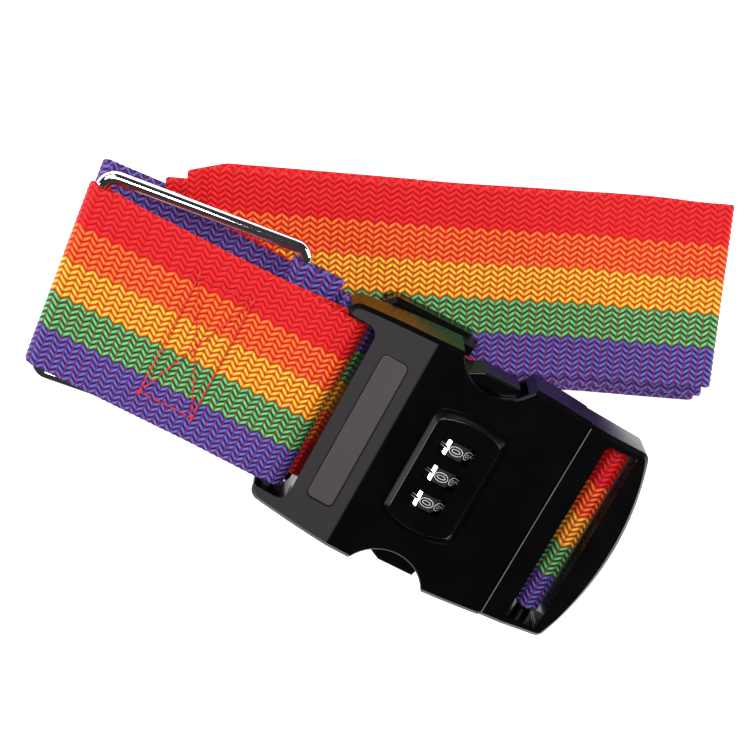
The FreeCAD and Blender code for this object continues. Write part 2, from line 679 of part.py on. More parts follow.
def link_strap():
    """The short sewn loop between the receptacle's bar and the ring, its left fold along the ring's bar."""
    outer = []
    inner = []
    bar_z = BUCKLE_BASE + WEB_BAR_Z
    for y in (-WEB_HALF, WEB_HALF):
        left_x = ring_bar_x(y, False)
        for wires, offset, half_gap in ((outer, WEB_THICK, LAYER_PITCH / 2 + WEB_THICK / 2), (inner, 0, 0.05)):
            left = (left_x, RING_LEFT.z, RING_WIRE / 2 + LINK_SLACK + offset)
            right = (WEB_BAR_X, bar_z, WEB_BAR_RADIUS + LINK_SLACK + offset)
            top_z = LINK_SEWN_Z + half_gap
            low_z = LINK_SEWN_Z - half_gap
            top = [(LINK_SEWN_X1, top_z), (LINK_SEWN_X0, top_z)]
            bottom = [(left_x + 11, low_z), (LINK_SEWN_X0, low_z), (LINK_SEWN_X1, low_z)]
            wires.append(loop_wire(left, right, top, bottom, y))
    body = Part.makeLoft(outer, True, True)
    return body.cut(Part.makeLoft(inner, True, True))


def link_stitching():
    """Box-and-cross seam standing proud of the link's top layer."""
    z = LINK_SEWN_Z + LAYER_PITCH / 2 + WEB_THICK / 2
    corners = [Vector(SEAM_X0, SEAM_Y0, z), Vector(SEAM_X1, SEAM_Y0, z), Vector(SEAM_X1, SEAM_Y1, z),
               Vector(SEAM_X0, SEAM_Y1, z)]
    runs = list(zip(corners, corners[1:] + corners[:1]))
    runs += [(corners[0], corners[2]), (corners[1], corners[3])]
    seam = None
    for start, end in runs:
        along = end - start
        thread = box(-THREAD_HALF, along.Length + THREAD_HALF, -THREAD_HALF, THREAD_HALF, 0, THREAD_PROUD)
        thread.rotate(Vector(0, 0, 0), Vector(0, 0, 1), math.degrees(math.atan2(along.y, along.x)))
        thread = thread.translated(start)
        seam = thread if seam is None else seam.fuse(thread)
    return seam


def ring_end_loop():
    """The long strap's sewn end, wrapped round the ring's right bar."""
    bar_z = RING_LEFT.z - RING_DROP
    radius = RING_WIRE / 2 + LINK_SLACK
    outer = []
    inner = []
    for y in (RING_END_Y - WEB_HALF, RING_END_Y + WEB_HALF):
        x = ring_bar_x(y, True)
        outer.append(loop_wire((x, bar_z, radius + WEB_THICK), (-4.6, 20.2, 1.35), [], [], y))
        inner.append(loop_wire((x, bar_z, radius), (-4.8, 20.2, 0.1), [], [], y))
    body = Part.makeLoft(outer, True, True)
    return body.cut(Part.makeLoft(inner, True, True))


def turned_about_z(shape, degrees, x, y):
    turned = shape.copy()
    turned.rotate(Vector(x, y, 0), Vector(0, 0, 1), degrees)
    return turned


def folded_pile():
    """The strap's spare length, laid to and fro, with its far end sagging to the surface."""
    length = PILE_LENGTH
    end = WEB_THICK / 2 + 0.05
    levels = fold_levels(PILE_LAYERS, 0, LAYER_PITCH)
    points = []
    radii = []
    for index, level in enumerate(levels):
        high = PILE_BASE + WEB_THICK / 2 + level
        low = WEB_THICK / 2 + level
        run = [(end, high), (SAG_X0, high), (SAG_X1, low), (length - end, low)]
        bends = [30.0, 30.0]
        if index % 2 == 1:
            run.reverse()
        points += run
        fold = [LAYER_PITCH / 2]
        before = fold if index > 0 else []
        after = fold if index < PILE_LAYERS - 1 else []
        radii += before + bends + after
    points[0] = (points[0][0] - end, points[0][1])
    points[-1] = (points[-1][0] - end, points[-1][1])
    body = webbing(points, radii)
    body.rotate(Vector(0, 0, 0), Vector(0, 0, 1), PILE_HEADING)
    return body.translated(PILE_START)


CROSS_X = 8.3
CROSS_LENGTH = 62.5
CROSS_TAIL = 25.5
CROSS_FOLD_RADIUS = 0.9
CROSS_TURN = -3.0


def cross_run():
    """The run that leaves the slide to the left, folds under itself and joins the pile."""
    z = TAIL_STRAP_Z
    low = z - 2 * CROSS_FOLD_RADIUS - 0.1
    points = [(0, z), (-CROSS_LENGTH, z), (-CROSS_LENGTH, low), (CROSS_TAIL - CROSS_LENGTH, low)]
    body = webbing(points, [CROSS_FOLD_RADIUS, CROSS_FOLD_RADIUS])
    return turned_about_z(body.translated(Vector(CROSS_X, 1.0, 0)), CROSS_TURN, CROSS_X, 1.0)


RETURN_FOLD_X = -72.6
RETURN_END_X = 46.0
RETURN_Y = 1.6
RETURN_TURN = -1.8


def return_run():
    """The run under everything: left along the surface, up, back over the slide, and its fold there."""
    floor = WEB_THICK / 2
    upper = RETURN_RUN_Z
    under = [(40, floor), (-43, floor), (-68, 10.2), (RETURN_FOLD_X, 11.8), (RETURN_FOLD_X, 16.8)]
    over = [(-10, 16.8), (4, upper), (RETURN_END_X, upper)]
    back = [(RETURN_END_X, upper + LAYER_PITCH), (4, upper + LAYER_PITCH), (-2.2, upper + LAYER_PITCH - 0.6)]
    fold = LAYER_PITCH / 2
    body = webbing(under + over + back, [20, 8, 2.4, 2.4, 12, 12, fold, fold, 12])
    return turned_about_z(body.translated(Vector(0, RETURN_Y, 0)), RETURN_TURN, 30, RETURN_Y)


RISE_X = 46.0


def plug_strap():
    """Both layers of the strap from the slide to the plug's bar, wrapped over the bar."""
    bar_z = BUCKLE_BASE + PLUG_BAR_Z
    wrap = PLUG_BAR_RADIUS + 0.05 + WEB_THICK / 2
    main = TAIL_STRAP_Z
    tail = TAIL_STRAP_Z + LAYER_PITCH
    right = PLUG_BAR_X + wrap
    left = PLUG_BAR_X - wrap
    under = [(10.6, main), (RISE_X, main), (PLUG_BAR_X - 0.25, 18.6), (right, 22.0)]
    round_bar = [(right, bar_z + wrap), (left, bar_z + wrap)]
    over = [(left, 21.2), (left - 5.95, 18.9), (RISE_X, tail), (-5, tail)]
    body = webbing(under + round_bar + over, [40, 2.6, 2.6, wrap, wrap, 2.0, 14, 40])
    return body.translated(Vector(0, 1.0, 0))


# ---------------------------------------------------------------- output

def write(name, shape):
    placed = shape.translated(FOOTPRINT_MIDDLE * -1)
    placed.exportStep("parts/" + name + ".step")
    return placed


def build():
    pieces = {
        "receptacle_shell": receptacle_shell(),
        "receptacle_back_cover": back_cover(),
        "cover_screws": cover_screws(),
        "name_plate": name_plate(),
        "dial_axle": dial_axle(),
        "detent_spring": detent_spring(),
        "locking_bar": locking_bar(),
        "locking_bar_springs": locking_bar_springs(),
        "reset_button": reset_button(),
        "reset_spring": reset_spring(),
        "plug_body": plug_body(),
        "tri_glide": tri_glide(),
        "square_ring": square_ring(),
        "link_strap": link_strap(),
        "link_stitching": link_stitching(),
        "ring_end_loop": ring_end_loop(),
        "folded_pile": folded_pile(),
        "cross_run": cross_run(),
        "return_run": return_run(),
        "plug_strap": plug_strap(),
    }
    for number, y in enumerate(dial_places(), 1):
        pieces["number_wheel_%d" % number] = number_wheel(y)
        pieces["code_cam_%d" % number] = code_cam(y)
    pieces["left_prong"], pieces["right_prong"] = both_sides(prong())
    return pieces


os.makedirs("parts", exist_ok=True)
written = [write(name, shape) for name, shape in build().items()]
whole = Part.makeCompound(written).BoundBox
print("x", round(whole.XMin, 2), round(whole.XMax, 2))
print("y", round(whole.YMin, 2), round(whole.YMax, 2))
print("z", round(whole.ZMin, 2), round(whole.ZMax, 2))
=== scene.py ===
# %% [markdown]
# # A luggage strap, lying folded
#
# The real object is a long run of 50 mm rainbow webbing, folded to and fro, with a black
# side-release buckle that has three number wheels, a three-bar slide and a chromed square ring.
# The hard parts come from the CAD model and get a finish here. The webbing is made again from
# scratch, because a plain slab shows neither the herringbone weave nor the soft folds.

# %% The CAD model
import json
import math

import bmesh
import bpy
import numpy as np
from mathutils import Matrix, Vector

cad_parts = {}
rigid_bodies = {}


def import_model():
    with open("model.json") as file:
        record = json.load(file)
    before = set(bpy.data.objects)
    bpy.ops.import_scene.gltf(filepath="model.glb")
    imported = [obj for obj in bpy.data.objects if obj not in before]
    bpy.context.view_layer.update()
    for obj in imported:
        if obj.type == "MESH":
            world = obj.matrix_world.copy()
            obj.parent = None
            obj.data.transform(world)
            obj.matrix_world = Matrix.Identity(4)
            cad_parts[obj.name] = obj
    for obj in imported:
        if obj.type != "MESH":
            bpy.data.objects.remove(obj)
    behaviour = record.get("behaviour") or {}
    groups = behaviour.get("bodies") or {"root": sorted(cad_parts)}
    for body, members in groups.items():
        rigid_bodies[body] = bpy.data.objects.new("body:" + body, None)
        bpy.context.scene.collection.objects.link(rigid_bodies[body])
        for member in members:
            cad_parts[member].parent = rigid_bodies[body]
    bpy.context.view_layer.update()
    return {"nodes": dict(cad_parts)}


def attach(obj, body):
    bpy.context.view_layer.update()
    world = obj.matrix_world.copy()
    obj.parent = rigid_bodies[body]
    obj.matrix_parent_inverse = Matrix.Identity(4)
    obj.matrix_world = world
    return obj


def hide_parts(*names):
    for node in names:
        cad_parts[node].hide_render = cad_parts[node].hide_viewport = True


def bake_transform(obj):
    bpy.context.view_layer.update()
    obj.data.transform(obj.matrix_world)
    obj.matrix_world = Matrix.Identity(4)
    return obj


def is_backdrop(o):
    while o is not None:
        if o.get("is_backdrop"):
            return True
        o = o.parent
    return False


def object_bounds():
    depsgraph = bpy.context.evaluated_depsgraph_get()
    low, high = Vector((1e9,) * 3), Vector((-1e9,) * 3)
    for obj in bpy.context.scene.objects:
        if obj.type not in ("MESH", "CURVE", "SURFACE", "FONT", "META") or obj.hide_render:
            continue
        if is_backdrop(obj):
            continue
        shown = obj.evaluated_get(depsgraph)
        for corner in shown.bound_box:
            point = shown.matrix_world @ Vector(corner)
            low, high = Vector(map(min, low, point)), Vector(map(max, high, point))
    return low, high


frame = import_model()

# %% [markdown]
# The buckle is the part that everything else is measured from. Its own frame starts at the
# receptacle's webbing end, X along the buckle, so each size below can be read off one part.
# `row` turns such a point, in millimetres, into the model's frame in metres.

# %% Measures
MM = 0.001
BUCKLE_START = np.array((-12.4, -30.8, 0.0))
BUCKLE_BASE = 21.3
WEB_WIDTH = 50.4
WEB_HALF = WEB_WIDTH / 2
LAYER_PITCH = 1.3


def row(x, y, z):
    """A point in the buckle's frame, in millimetres, as a place in the model, in metres."""
    return Vector((np.array((x, y, z)) + BUCKLE_START) * MM)


def linear(code):
    """An sRGB hex colour as the linear values that a shader takes."""
    parts = [int(code[i:i + 2], 16) / 255 for i in (1, 3, 5)]
    return [c / 12.92 if c <= 0.04045 else ((c + 0.055) / 1.055) ** 2.4 for c in parts] + [1.0]


def in_scene(name, data):
    """A new object with this mesh, light or camera, linked to the scene."""
    obj = bpy.data.objects.new(name, data)
    bpy.context.scene.collection.objects.link(obj)
    return obj


print("buckle starts at", [round(v, 4) for v in row(0, 0, 0)])

# %% [markdown]
# The camera looks down on the strap, leaning back 18 degrees, and is turned so that the
# buckle runs from the upper left of the view to the lower right.

# %% Camera
AIM = row(14.6, 13.9, 28.0)
UP_IN_PLAN = Vector((-0.469, 0.883, 0.0)).normalized()
LEAN = math.radians(18)
CAMERA_DISTANCE = 0.5
CAMERA_LENS = 92.35

camera_data = bpy.data.cameras.new("camera")
camera_data.lens = CAMERA_LENS
camera_data.sensor_width = 36.0
camera_data.clip_start = 0.01
camera_data.clip_end = 20.0
camera = in_scene("camera", camera_data)
camera_back = UP_IN_PLAN * math.sin(LEAN) + Vector((0, 0, math.cos(LEAN)))
camera_right = UP_IN_PLAN.cross(camera_back).normalized()
camera_up = camera_back.cross(camera_right)
turn = Matrix((camera_right, camera_up, camera_back)).transposed()
camera.matrix_world = Matrix.Translation(AIM + camera_back * CAMERA_DISTANCE) @ turn.to_4x4()
bpy.context.scene.camera = camera
print("camera at", [round(v, 3) for v in camera.location])

# %% [markdown]
# Soft light comes from panels round the object. None of them stands where the buckle's flat top
# would mirror it, so the top stays black and its bevels and slopes catch the light instead. Each
# panel's row gives how far right, up and above the object it stands in metres, its side in
# metres, and its power in watts.

# %% Lights
RIGHT_IN_PLAN = Vector((0.883, 0.469, 0.0)).normalized()
PANELS = {
    "key_panel": (-0.35, 0.95, 0.80, 0.80, 13.5),
    "top_panel": (0.10, 0.36, 1.15, 0.42, 6.5),
    "left_panel": (-1.05, 0.16, 0.42, 0.45, 8.0),
    "right_panel": (1.05, 0.05, 0.50, 0.60, 8.0),
    "near_panel": (0.45, -1.15, 0.32, 0.60, 8.0),
}
for name, (right, up, above, side, power) in PANELS.items():
    light = bpy.data.lights.new(name, "AREA")
    light.shape = "SQUARE"
    light.size = side
    light.energy = power
    lamp = in_scene(name, light)
    lamp.location = AIM + RIGHT_IN_PLAN * right + UP_IN_PLAN * up + Vector((0, 0, above))
    lamp.rotation_mode = "QUATERNION"
    lamp.rotation_quaternion = (lamp.location - AIM).to_track_quat("Z", "Y")
print("lights:", list(PANELS))

# %% [markdown]
# The room is dim, so that the black parts stay black. The floor is plain and pale, and shines
# a little by itself, so it looks evenly lit.

# %% Room and floor
WORLD_STRENGTH = 0.04
FLOOR_HALF = 3.0

world = bpy.data.worlds.new("studio")
world.use_nodes = True
world.node_tree.nodes["Background"].inputs["Color"].default_value = linear("#FFFFFF")
world.node_tree.nodes["Background"].inputs["Strength"].default_value = WORLD_STRENGTH
bpy.context.scene.world = world
bpy.context.scene.view_settings.view_transform = "Standard"
bpy.context.scene.view_settings.look = "None"

floor_corners = [(x * FLOOR_HALF, y * FLOOR_HALF, 0)
                 for x, y in ((-1, -1), (1, -1), (1, 1), (-1, 1))]
floor_mesh = bpy.data.meshes.new("floor")
floor_mesh.from_pydata(floor_corners, [], [(0, 1, 2, 3)])
floor = in_scene("floor", floor_mesh)
floor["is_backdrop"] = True
print("floor side, m:", 2 * FLOOR_HALF)

# %% [markdown]
# ## Materials
#
# Every material is a small tree of nodes. `add` makes one node, with its settings and with
# its inputs either set to a value or joined to another node's output. An input goes by its
# name, or by its number where a node has several of one name.


# %% One helper for nodes
def add(tree, kind, settings=(), inputs=()):
    node = tree.nodes.new(kind)
    for key, value in dict(settings).items():
        setattr(node, key, value)
    for key, value in dict(inputs).items():
        socket = node.inputs[key]
        if isinstance(value, bpy.types.NodeSocket):
            tree.links.new(value, socket)
        else:
            socket.default_value = value
    return node


def new_material(name):
    """An empty material and its tree and shader."""
    material = bpy.data.materials.new(name)
    material.use_nodes = True
    tree = material.node_tree
    tree.nodes.clear()
    shader = add(tree, "ShaderNodeBsdfPrincipled")
    output = add(tree, "ShaderNodeOutputMaterial")
    tree.links.new(shader.outputs["BSDF"], output.inputs["Surface"])
    return material, tree, shader


# %% Paper floor, matt and glowing faintly
floor_paper, tree, shader = new_material("seamless_paper")
shader.inputs["Base Color"].default_value = linear("#F4F4F4")
shader.inputs["Roughness"].default_value = 0.9
shader.inputs["Emission Color"].default_value = linear("#FFFFFF")
shader.inputs["Emission Strength"].default_value = 0.55
floor.data.materials.append(floor_paper)
print("floor material:", floor_paper.name)

# %% [markdown]
# ### Woven polypropylene webbing
#
# Herringbone webbing shows rows of slanted yarn floats that run in a zigzag along the strap.
# Each float is a short thick lump, lit on its back and dark where it dives under the next,
# and the red weft shows as small flecks where two slants meet. The five stripes of dye change
# between two rows, so a stripe's edge is a zigzag too. The same rule draws the colour, with its
# painted highlight and painted shade, and raises the mesh below, so the two agree. It reads the
# piece's own UV map, in metres.

# %% The weave's rule
ZIGZAG = 3.75
CHEVRON = 1.45
ROW = 1.58
ROW_ROUND = 0.8
FLOAT_LOW = 0.25
FLOAT_ROUND = 0.7
STRIPES = 5
ROWS_IN_STRIPE = 6
# Painted light: each stripe's dye as lit on the floats' backs (painted highlight) and as shaded
# between them (painted shade).
LIT_RIDGE_COLOURS = ("#6460B4", "#68BE7A", "#FCBE3A", "#FA7830", "#EC2028")
SHADED_VALLEY_COLOURS = ("#101060", "#064A18", "#C85E00", "#D42400", "#C40004")
WEFT_COLOUR = "#B81A14"
stripe_edges = [(n + 1 - STRIPES / 2) * ROWS_IN_STRIPE * ROW for n in range(STRIPES - 1)]


def weave_height(along, across):
    """How high the yarn stands, 0 to 1, at places in millimetres along and across the strap."""
    slant = 2 * np.abs((along / ZIGZAG) % 1.0 - 0.5)
    rows = 0.5 + 0.5 * np.cos(2 * np.pi * (across + slant * CHEVRON) / ROW)
    floats = np.abs(np.sin(2 * np.pi * along / ZIGZAG))
    return rows ** ROW_ROUND * (FLOAT_LOW + (1 - FLOAT_LOW) * floats ** FLOAT_ROUND)


print("stripe edges, mm from the middle:", [round(v, 2) for v in stripe_edges])

# %% The slanted rows, as nodes
webbing, tree, shader = new_material("woven_polypropylene_webbing")
uv = add(tree, "ShaderNodeUVMap", {"uv_map": "UVMap"})
uv_axes = add(tree, "ShaderNodeSeparateXYZ", (), {0: uv.outputs["UV"]})
turns = add(tree, "ShaderNodeMath", {"operation": "MULTIPLY"},
            {0: uv_axes.outputs["X"], 1: 1 / (ZIGZAG * MM)})
fraction = add(tree, "ShaderNodeMath", {"operation": "FRACT"}, {0: turns.outputs[0]})
centred = add(tree, "ShaderNodeMath", {"operation": "SUBTRACT"},
              {0: fraction.outputs[0], 1: 0.5})
folded = add(tree, "ShaderNodeMath", {"operation": "ABSOLUTE"}, {0: centred.outputs[0]})
zigzag = add(tree, "ShaderNodeMath", {"operation": "MULTIPLY_ADD"},
             {0: folded.outputs[0], 1: 2 * CHEVRON * MM, 2: uv_axes.outputs["Y"]})
row_turns = add(tree, "ShaderNodeMath", {"operation": "MULTIPLY"},
                {0: zigzag.outputs[0], 1: 2 * math.pi / (ROW * MM)})
row_wave = add(tree, "ShaderNodeMath", {"operation": "COSINE"}, {0: row_turns.outputs[0]})
rows = add(tree, "ShaderNodeMath", {"operation": "MULTIPLY_ADD"},
           {0: row_wave.outputs[0], 1: 0.5, 2: 0.5})
print("rows across the webbing:", round(WEB_WIDTH / ROW))

# %% The yarn floats, as nodes
float_turns = add(tree, "ShaderNodeMath", {"operation": "MULTIPLY"},
                  {0: turns.outputs[0], 1: 2 * math.pi})
float_wave = add(tree, "ShaderNodeMath", {"operation": "SINE"}, {0: float_turns.outputs[0]})
floats = add(tree, "ShaderNodeMath", {"operation": "ABSOLUTE"}, {0: float_wave.outputs[0]})
float_round = add(tree, "ShaderNodeMath", {"operation": "POWER"},
                  {0: floats.outputs[0], 1: FLOAT_ROUND})
float_lift = add(tree, "ShaderNodeMath", {"operation": "MULTIPLY_ADD"},
                 {0: float_round.outputs[0], 1: 1 - FLOAT_LOW, 2: FLOAT_LOW})
height = add(tree, "ShaderNodeMath", {"operation": "MULTIPLY"},
             {0: rows.outputs[0], 1: float_lift.outputs[0]})
print("floats in 100 mm:", round(200 / ZIGZAG))

# %% [markdown]
# Each stripe has two colours, both its one dye under painted light: a painted highlight for the
# lit back of the yarn, and painted shade between the floats. Two stepped ramps hold them, and the
# yarn's height mixes them, with a fine noise for the single filaments.

# %% The stripes
YARN_NOISE = 900.0
NOISE_GAIN = 1.9
LIT_FROM, LIT_TO = 0.12, 0.80
SHADE_TO, SHADE_LOW = 0.28, 0.5

centre_line = add(tree, "ShaderNodeMath", {"operation": "SUBTRACT"},
                  {0: zigzag.outputs[0], 1: CHEVRON * MM / 2})
stripe_place = add(tree, "ShaderNodeMath", {"operation": "MULTIPLY_ADD"},
                   {0: centre_line.outputs[0], 1: 1 / (WEB_WIDTH * MM), 2: 0.5})
ramps = []
for colours in (LIT_RIDGE_COLOURS, SHADED_VALLEY_COLOURS):
    ramp = add(tree, "ShaderNodeValToRGB", (), {0: stripe_place.outputs[0]})
    ramp.color_ramp.interpolation = "CONSTANT"
    while len(ramp.color_ramp.elements) < STRIPES:
        ramp.color_ramp.elements.new(0.5)
    for index, colour in enumerate(colours):
        place = 0.0 if index == 0 else stripe_edges[index - 1] / WEB_WIDTH + 0.5
        ramp.color_ramp.elements[index].position = place
        ramp.color_ramp.elements[index].color = linear(colour)
    ramps.append(ramp)
yarn_noise = add(tree, "ShaderNodeTexNoise", (),
                 {"Vector": uv.outputs["UV"], "Scale": YARN_NOISE, "Detail": 2.0})
# The yarn's height mixes the painted highlight colour with the painted shade colour.
lit = add(tree, "ShaderNodeMapRange", {"interpolation_type": "SMOOTHSTEP"},
          {0: height.outputs[0], 1: LIT_FROM, 2: LIT_TO, 3: 0.0, 4: 1.0})
lit_uneven = add(tree, "ShaderNodeMath", {"operation": "MULTIPLY"},
                 {0: lit.outputs[0], 1: yarn_noise.outputs[0]})
lit_share = add(tree, "ShaderNodeMath", {"operation": "MULTIPLY", "use_clamp": True},
                {0: lit_uneven.outputs[0], 1: NOISE_GAIN})
lit_and_shaded_dye = add(tree, "ShaderNodeMix", {"data_type": "RGBA"},
           {0: lit_share.outputs[0], 6: ramps[1].outputs["Color"], 7: ramps[0].outputs["Color"]})
# Painted shade: the low parts of the weave are darkened in the colour, down to SHADE_LOW.
shade = add(tree, "ShaderNodeMapRange", {"interpolation_type": "SMOOTHSTEP"},
            {0: height.outputs[0], 1: 0.0, 2: SHADE_TO, 3: SHADE_LOW, 4: 1.0})
shaded = add(tree, "ShaderNodeMix", {"data_type": "RGBA", "blend_type": "MULTIPLY"},
             {0: 1.0, 6: lit_and_shaded_dye.outputs[2], 7: shade.outputs[0]})
print("stripes:", STRIPES)

# %% The weft's flecks, the yarn's sheen and the bump
FLECK_TIGHTNESS = 2.5
FLECK_MOST = 0.75

gap = add(tree, "ShaderNodeMath", {"operation": "SUBTRACT"}, {0: 1.0, 1: floats.outputs[0]})
gap_tight = add(tree, "ShaderNodeMath", {"operation": "POWER"},
                {0: gap.outputs[0], 1: FLECK_TIGHTNESS})
between = add(tree, "ShaderNodeMath", {"operation": "SUBTRACT"}, {0: 1.0, 1: rows.outputs[0]})
fleck = add(tree, "ShaderNodeMath", {"operation": "MULTIPLY"},
            {0: gap_tight.outputs[0], 1: between.outputs[0]})
fleck_share = add(tree, "ShaderNodeMath", {"operation": "MULTIPLY"},
                  {0: fleck.outputs[0], 1: FLECK_MOST})
with_weft = add(tree, "ShaderNodeMix", {"data_type": "RGBA"},
                {0: fleck_share.outputs[0], 6: shaded.outputs[2], 7: linear(WEFT_COLOUR)})
tree.links.new(with_weft.outputs[2], shader.inputs["Base Color"])
shader.inputs["Roughness"].default_value = 0.62
shader.inputs["Specular IOR Level"].default_value = 0.20
shader.inputs["Sheen Weight"].default_value = 0.04
shader.inputs["Sheen Roughness"].default_value = 0.5
yarn_bump = add(tree, "ShaderNodeBump", (),
                {"Strength": 0.8, "Distance": 0.22 * MM, "Height": height.outputs[0]})
tree.links.new(yarn_bump.outputs["Normal"], shader.inputs["Normal"])
print("webbing material has", len(tree.nodes), "nodes")

# %% [markdown]
# ### Polyester sewing thread
#
# Bonded thread has a soft gloss, and its twisted plies give each stitch a fine ripple.

# %% Thread
thread, tree, shader = new_material("polyester_sewing_thread")
shader.inputs["Base Color"].default_value = linear("#C81812")
shader.inputs["Roughness"].default_value = 0.55
ply = add(tree, "ShaderNodeTexCoord")
twist = add(tree, "ShaderNodeTexNoise", (), {"Vector": ply.outputs["Object"], "Scale": 6000.0})
thread_bump = add(tree, "ShaderNodeBump", (),
                  {"Strength": 0.4, "Distance": 0.05 * MM, "Height": twist.outputs[0]})
tree.links.new(thread_bump.outputs["Normal"], shader.inputs["Normal"])
print("thread material has", len(tree.nodes), "nodes")

# %% [markdown]
# ### Moulded acetal and enamel
#
# The buckle is moulded in black acetal. A polished mould leaves it glossy with faint smears,
# and its sloped end is grained, so it looks matt and a little grey. The grain is drawn coarser
# than the real one, which is too fine to see. The digits' enamel is glossy and even.

# %% Moulded acetal, with or without the grained end
GRAIN_END = row(24.0, 0, 0).x
GRAIN_FADE = (-0.6 * MM, 0.2 * MM)
SMEAR_SCALE = 90.0
GRAIN_SCALE = 3800.0
GLOSS_BUMP = 0.02
GRAIN_BUMP = 0.35
GRAIN_DEPTH = 0.06 * MM
GRAIN_ROUGHNESS = 0.5
GRAIN_COLOUR = "#2B2829"


def moulded(name, colour, roughness, grained_end):
    """A moulded or enamelled surface, whose gloss varies a little."""
    material, tree, shader = new_material(name)
    place = add(tree, "ShaderNodeTexCoord").outputs["Object"]
    smears = add(tree, "ShaderNodeTexNoise", (),
                 {"Vector": place, "Scale": SMEAR_SCALE, "Detail": 4.0})
    gloss = add(tree, "ShaderNodeMapRange", (),
                {0: smears.outputs[0], 1: 0.3, 2: 0.7, 3: roughness - 0.04, 4: roughness + 0.06})
    grain = add(tree, "ShaderNodeTexNoise", (),
                {"Vector": place, "Scale": GRAIN_SCALE, "Detail": 1.0})
    bump = add(tree, "ShaderNodeBump", (),
               {"Strength": GLOSS_BUMP, "Distance": GRAIN_DEPTH, "Height": grain.outputs[0]})
    tree.links.new(bump.outputs["Normal"], shader.inputs["Normal"])
    shader.inputs["Base Color"].default_value = linear(colour)
    shader.inputs["Specular IOR Level"].default_value = 0.22
    if grained_end:
        grain_the_end(tree, shader, bump, place, colour, gloss)
    else:
        tree.links.new(gloss.outputs[0], shader.inputs["Roughness"])
    return material


def grain_the_end(tree, shader, bump, place, colour, gloss):
    """Makes the faces that look up, from the webbing end to GRAIN_END, matt and greyer."""
    axes = add(tree, "ShaderNodeSeparateXYZ", (), {0: place})
    facing = add(tree, "ShaderNodeNewGeometry")
    normal = add(tree, "ShaderNodeSeparateXYZ", (), {0: facing.outputs["Normal"]})
    inside = add(tree, "ShaderNodeMapRange", {"interpolation_type": "SMOOTHSTEP"},
                 {0: axes.outputs["X"], 1: GRAIN_END + GRAIN_FADE[0],
                  2: GRAIN_END + GRAIN_FADE[1], 3: 1.0, 4: 0.0})
    upward = add(tree, "ShaderNodeMath", {"operation": "GREATER_THAN"},
                 {0: normal.outputs["Z"], 1: 0.9})
    matt = add(tree, "ShaderNodeMath", {"operation": "MULTIPLY"},
               {0: inside.outputs[0], 1: upward.outputs[0]})
    tone = add(tree, "ShaderNodeMix", {"data_type": "RGBA"},
               {0: matt.outputs[0], 6: linear(colour), 7: linear(GRAIN_COLOUR)})
    tree.links.new(tone.outputs[2], shader.inputs["Base Color"])
    finish = add(tree, "ShaderNodeMix", {"data_type": "FLOAT"},
                 {0: matt.outputs[0], 2: gloss.outputs[0], 3: GRAIN_ROUGHNESS})
    tree.links.new(finish.outputs[0], shader.inputs["Roughness"])
    strength = add(tree, "ShaderNodeMath", {"operation": "MULTIPLY_ADD"},
                   {0: matt.outputs[0], 1: GRAIN_BUMP, 2: GLOSS_BUMP})
    tree.links.new(strength.outputs[0], bump.inputs["Strength"])


buckle_black = moulded("moulded_acetal_gloss_black", "#040405", 0.20, True)
slide_black = moulded("moulded_acetal_slide_black", "#060607", 0.24, False)
inner_black = moulded("moulded_acetal_inner_grey", "#242426", 0.45, False)
digit_black = moulded("black_enamel_digit_fill", "#050505", 0.35, False)
digit_rim = moulded("white_enamel_digit_rim", "#F2F2F0", 0.30, False)
print("grained up to X, mm:", round(GRAIN_END / MM, 1))

# %% [markdown]
# ### The name plate's satin inlay
#
# A blank strip of metallised film. Its fine sparkle mixes two greys and lifts the surface a
# little, so it looks satin beside the gloss.

# %% Satin inlay
satin, tree, shader = new_material("satin_inlay")
place = add(tree, "ShaderNodeTexCoord")
spark = add(tree, "ShaderNodeTexNoise", (),
            {"Vector": place.outputs["Object"], "Scale": 4200.0, "Detail": 1.0})
tone = add(tree, "ShaderNodeMix", {"data_type": "RGBA"},
           {0: spark.outputs[0], 6: linear("#262324"), 7: linear("#4C4748")})
tree.links.new(tone.outputs[2], shader.inputs["Base Color"])
shader.inputs["Roughness"].default_value = 0.48
plate_bump = add(tree, "ShaderNodeBump", (),
                 {"Strength": 0.3, "Distance": 0.05 * MM, "Height": spark.outputs[0]})
tree.links.new(plate_bump.outputs["Normal"], shader.inputs["Normal"])
print("inlay material has", len(tree.nodes), "nodes")

# %% [markdown]
# ### Chrome plate and spring steel
#
# The ring is steel with bright chrome plate, and the wheels are plated plastic. Chrome mirrors
# the room and spring steel is duller. Rubbing marks spread the reflections in places.


# %% Metals
def metal(name, colour, roughness, scratch):
    """Bare or plated metal. Fine rubbing marks spread its reflections a little."""
    material, tree, shader = new_material(name)
    place = add(tree, "ShaderNodeTexCoord")
    rub = add(tree, "ShaderNodeTexNoise", (),
              {"Vector": place.outputs["Object"], "Scale": 700.0, "Detail": 3.0})
    worn = add(tree, "ShaderNodeMapRange", (),
               {0: rub.outputs[0], 1: 0.3, 2: 0.8, 3: roughness, 4: roughness + scratch})
    shader.inputs["Base Color"].default_value = linear(colour)
    shader.inputs["Metallic"].default_value = 1.0
    tree.links.new(worn.outputs[0], shader.inputs["Roughness"])
    return material


ring_chrome = metal("bright_chrome_plate", "#E6E6EA", 0.035, 0.05)
wheel_chrome = metal("chrome_plated_wheel", "#D8D8DC", 0.07, 0.05)
spring_steel = metal("spring_steel", "#A8A8AC", 0.30, 0.10)
print("materials:", sorted(m.name for m in bpy.data.materials))

# %% [markdown]
# ## The hard parts
#
# Each CAD node keeps its mesh and gets its finish.

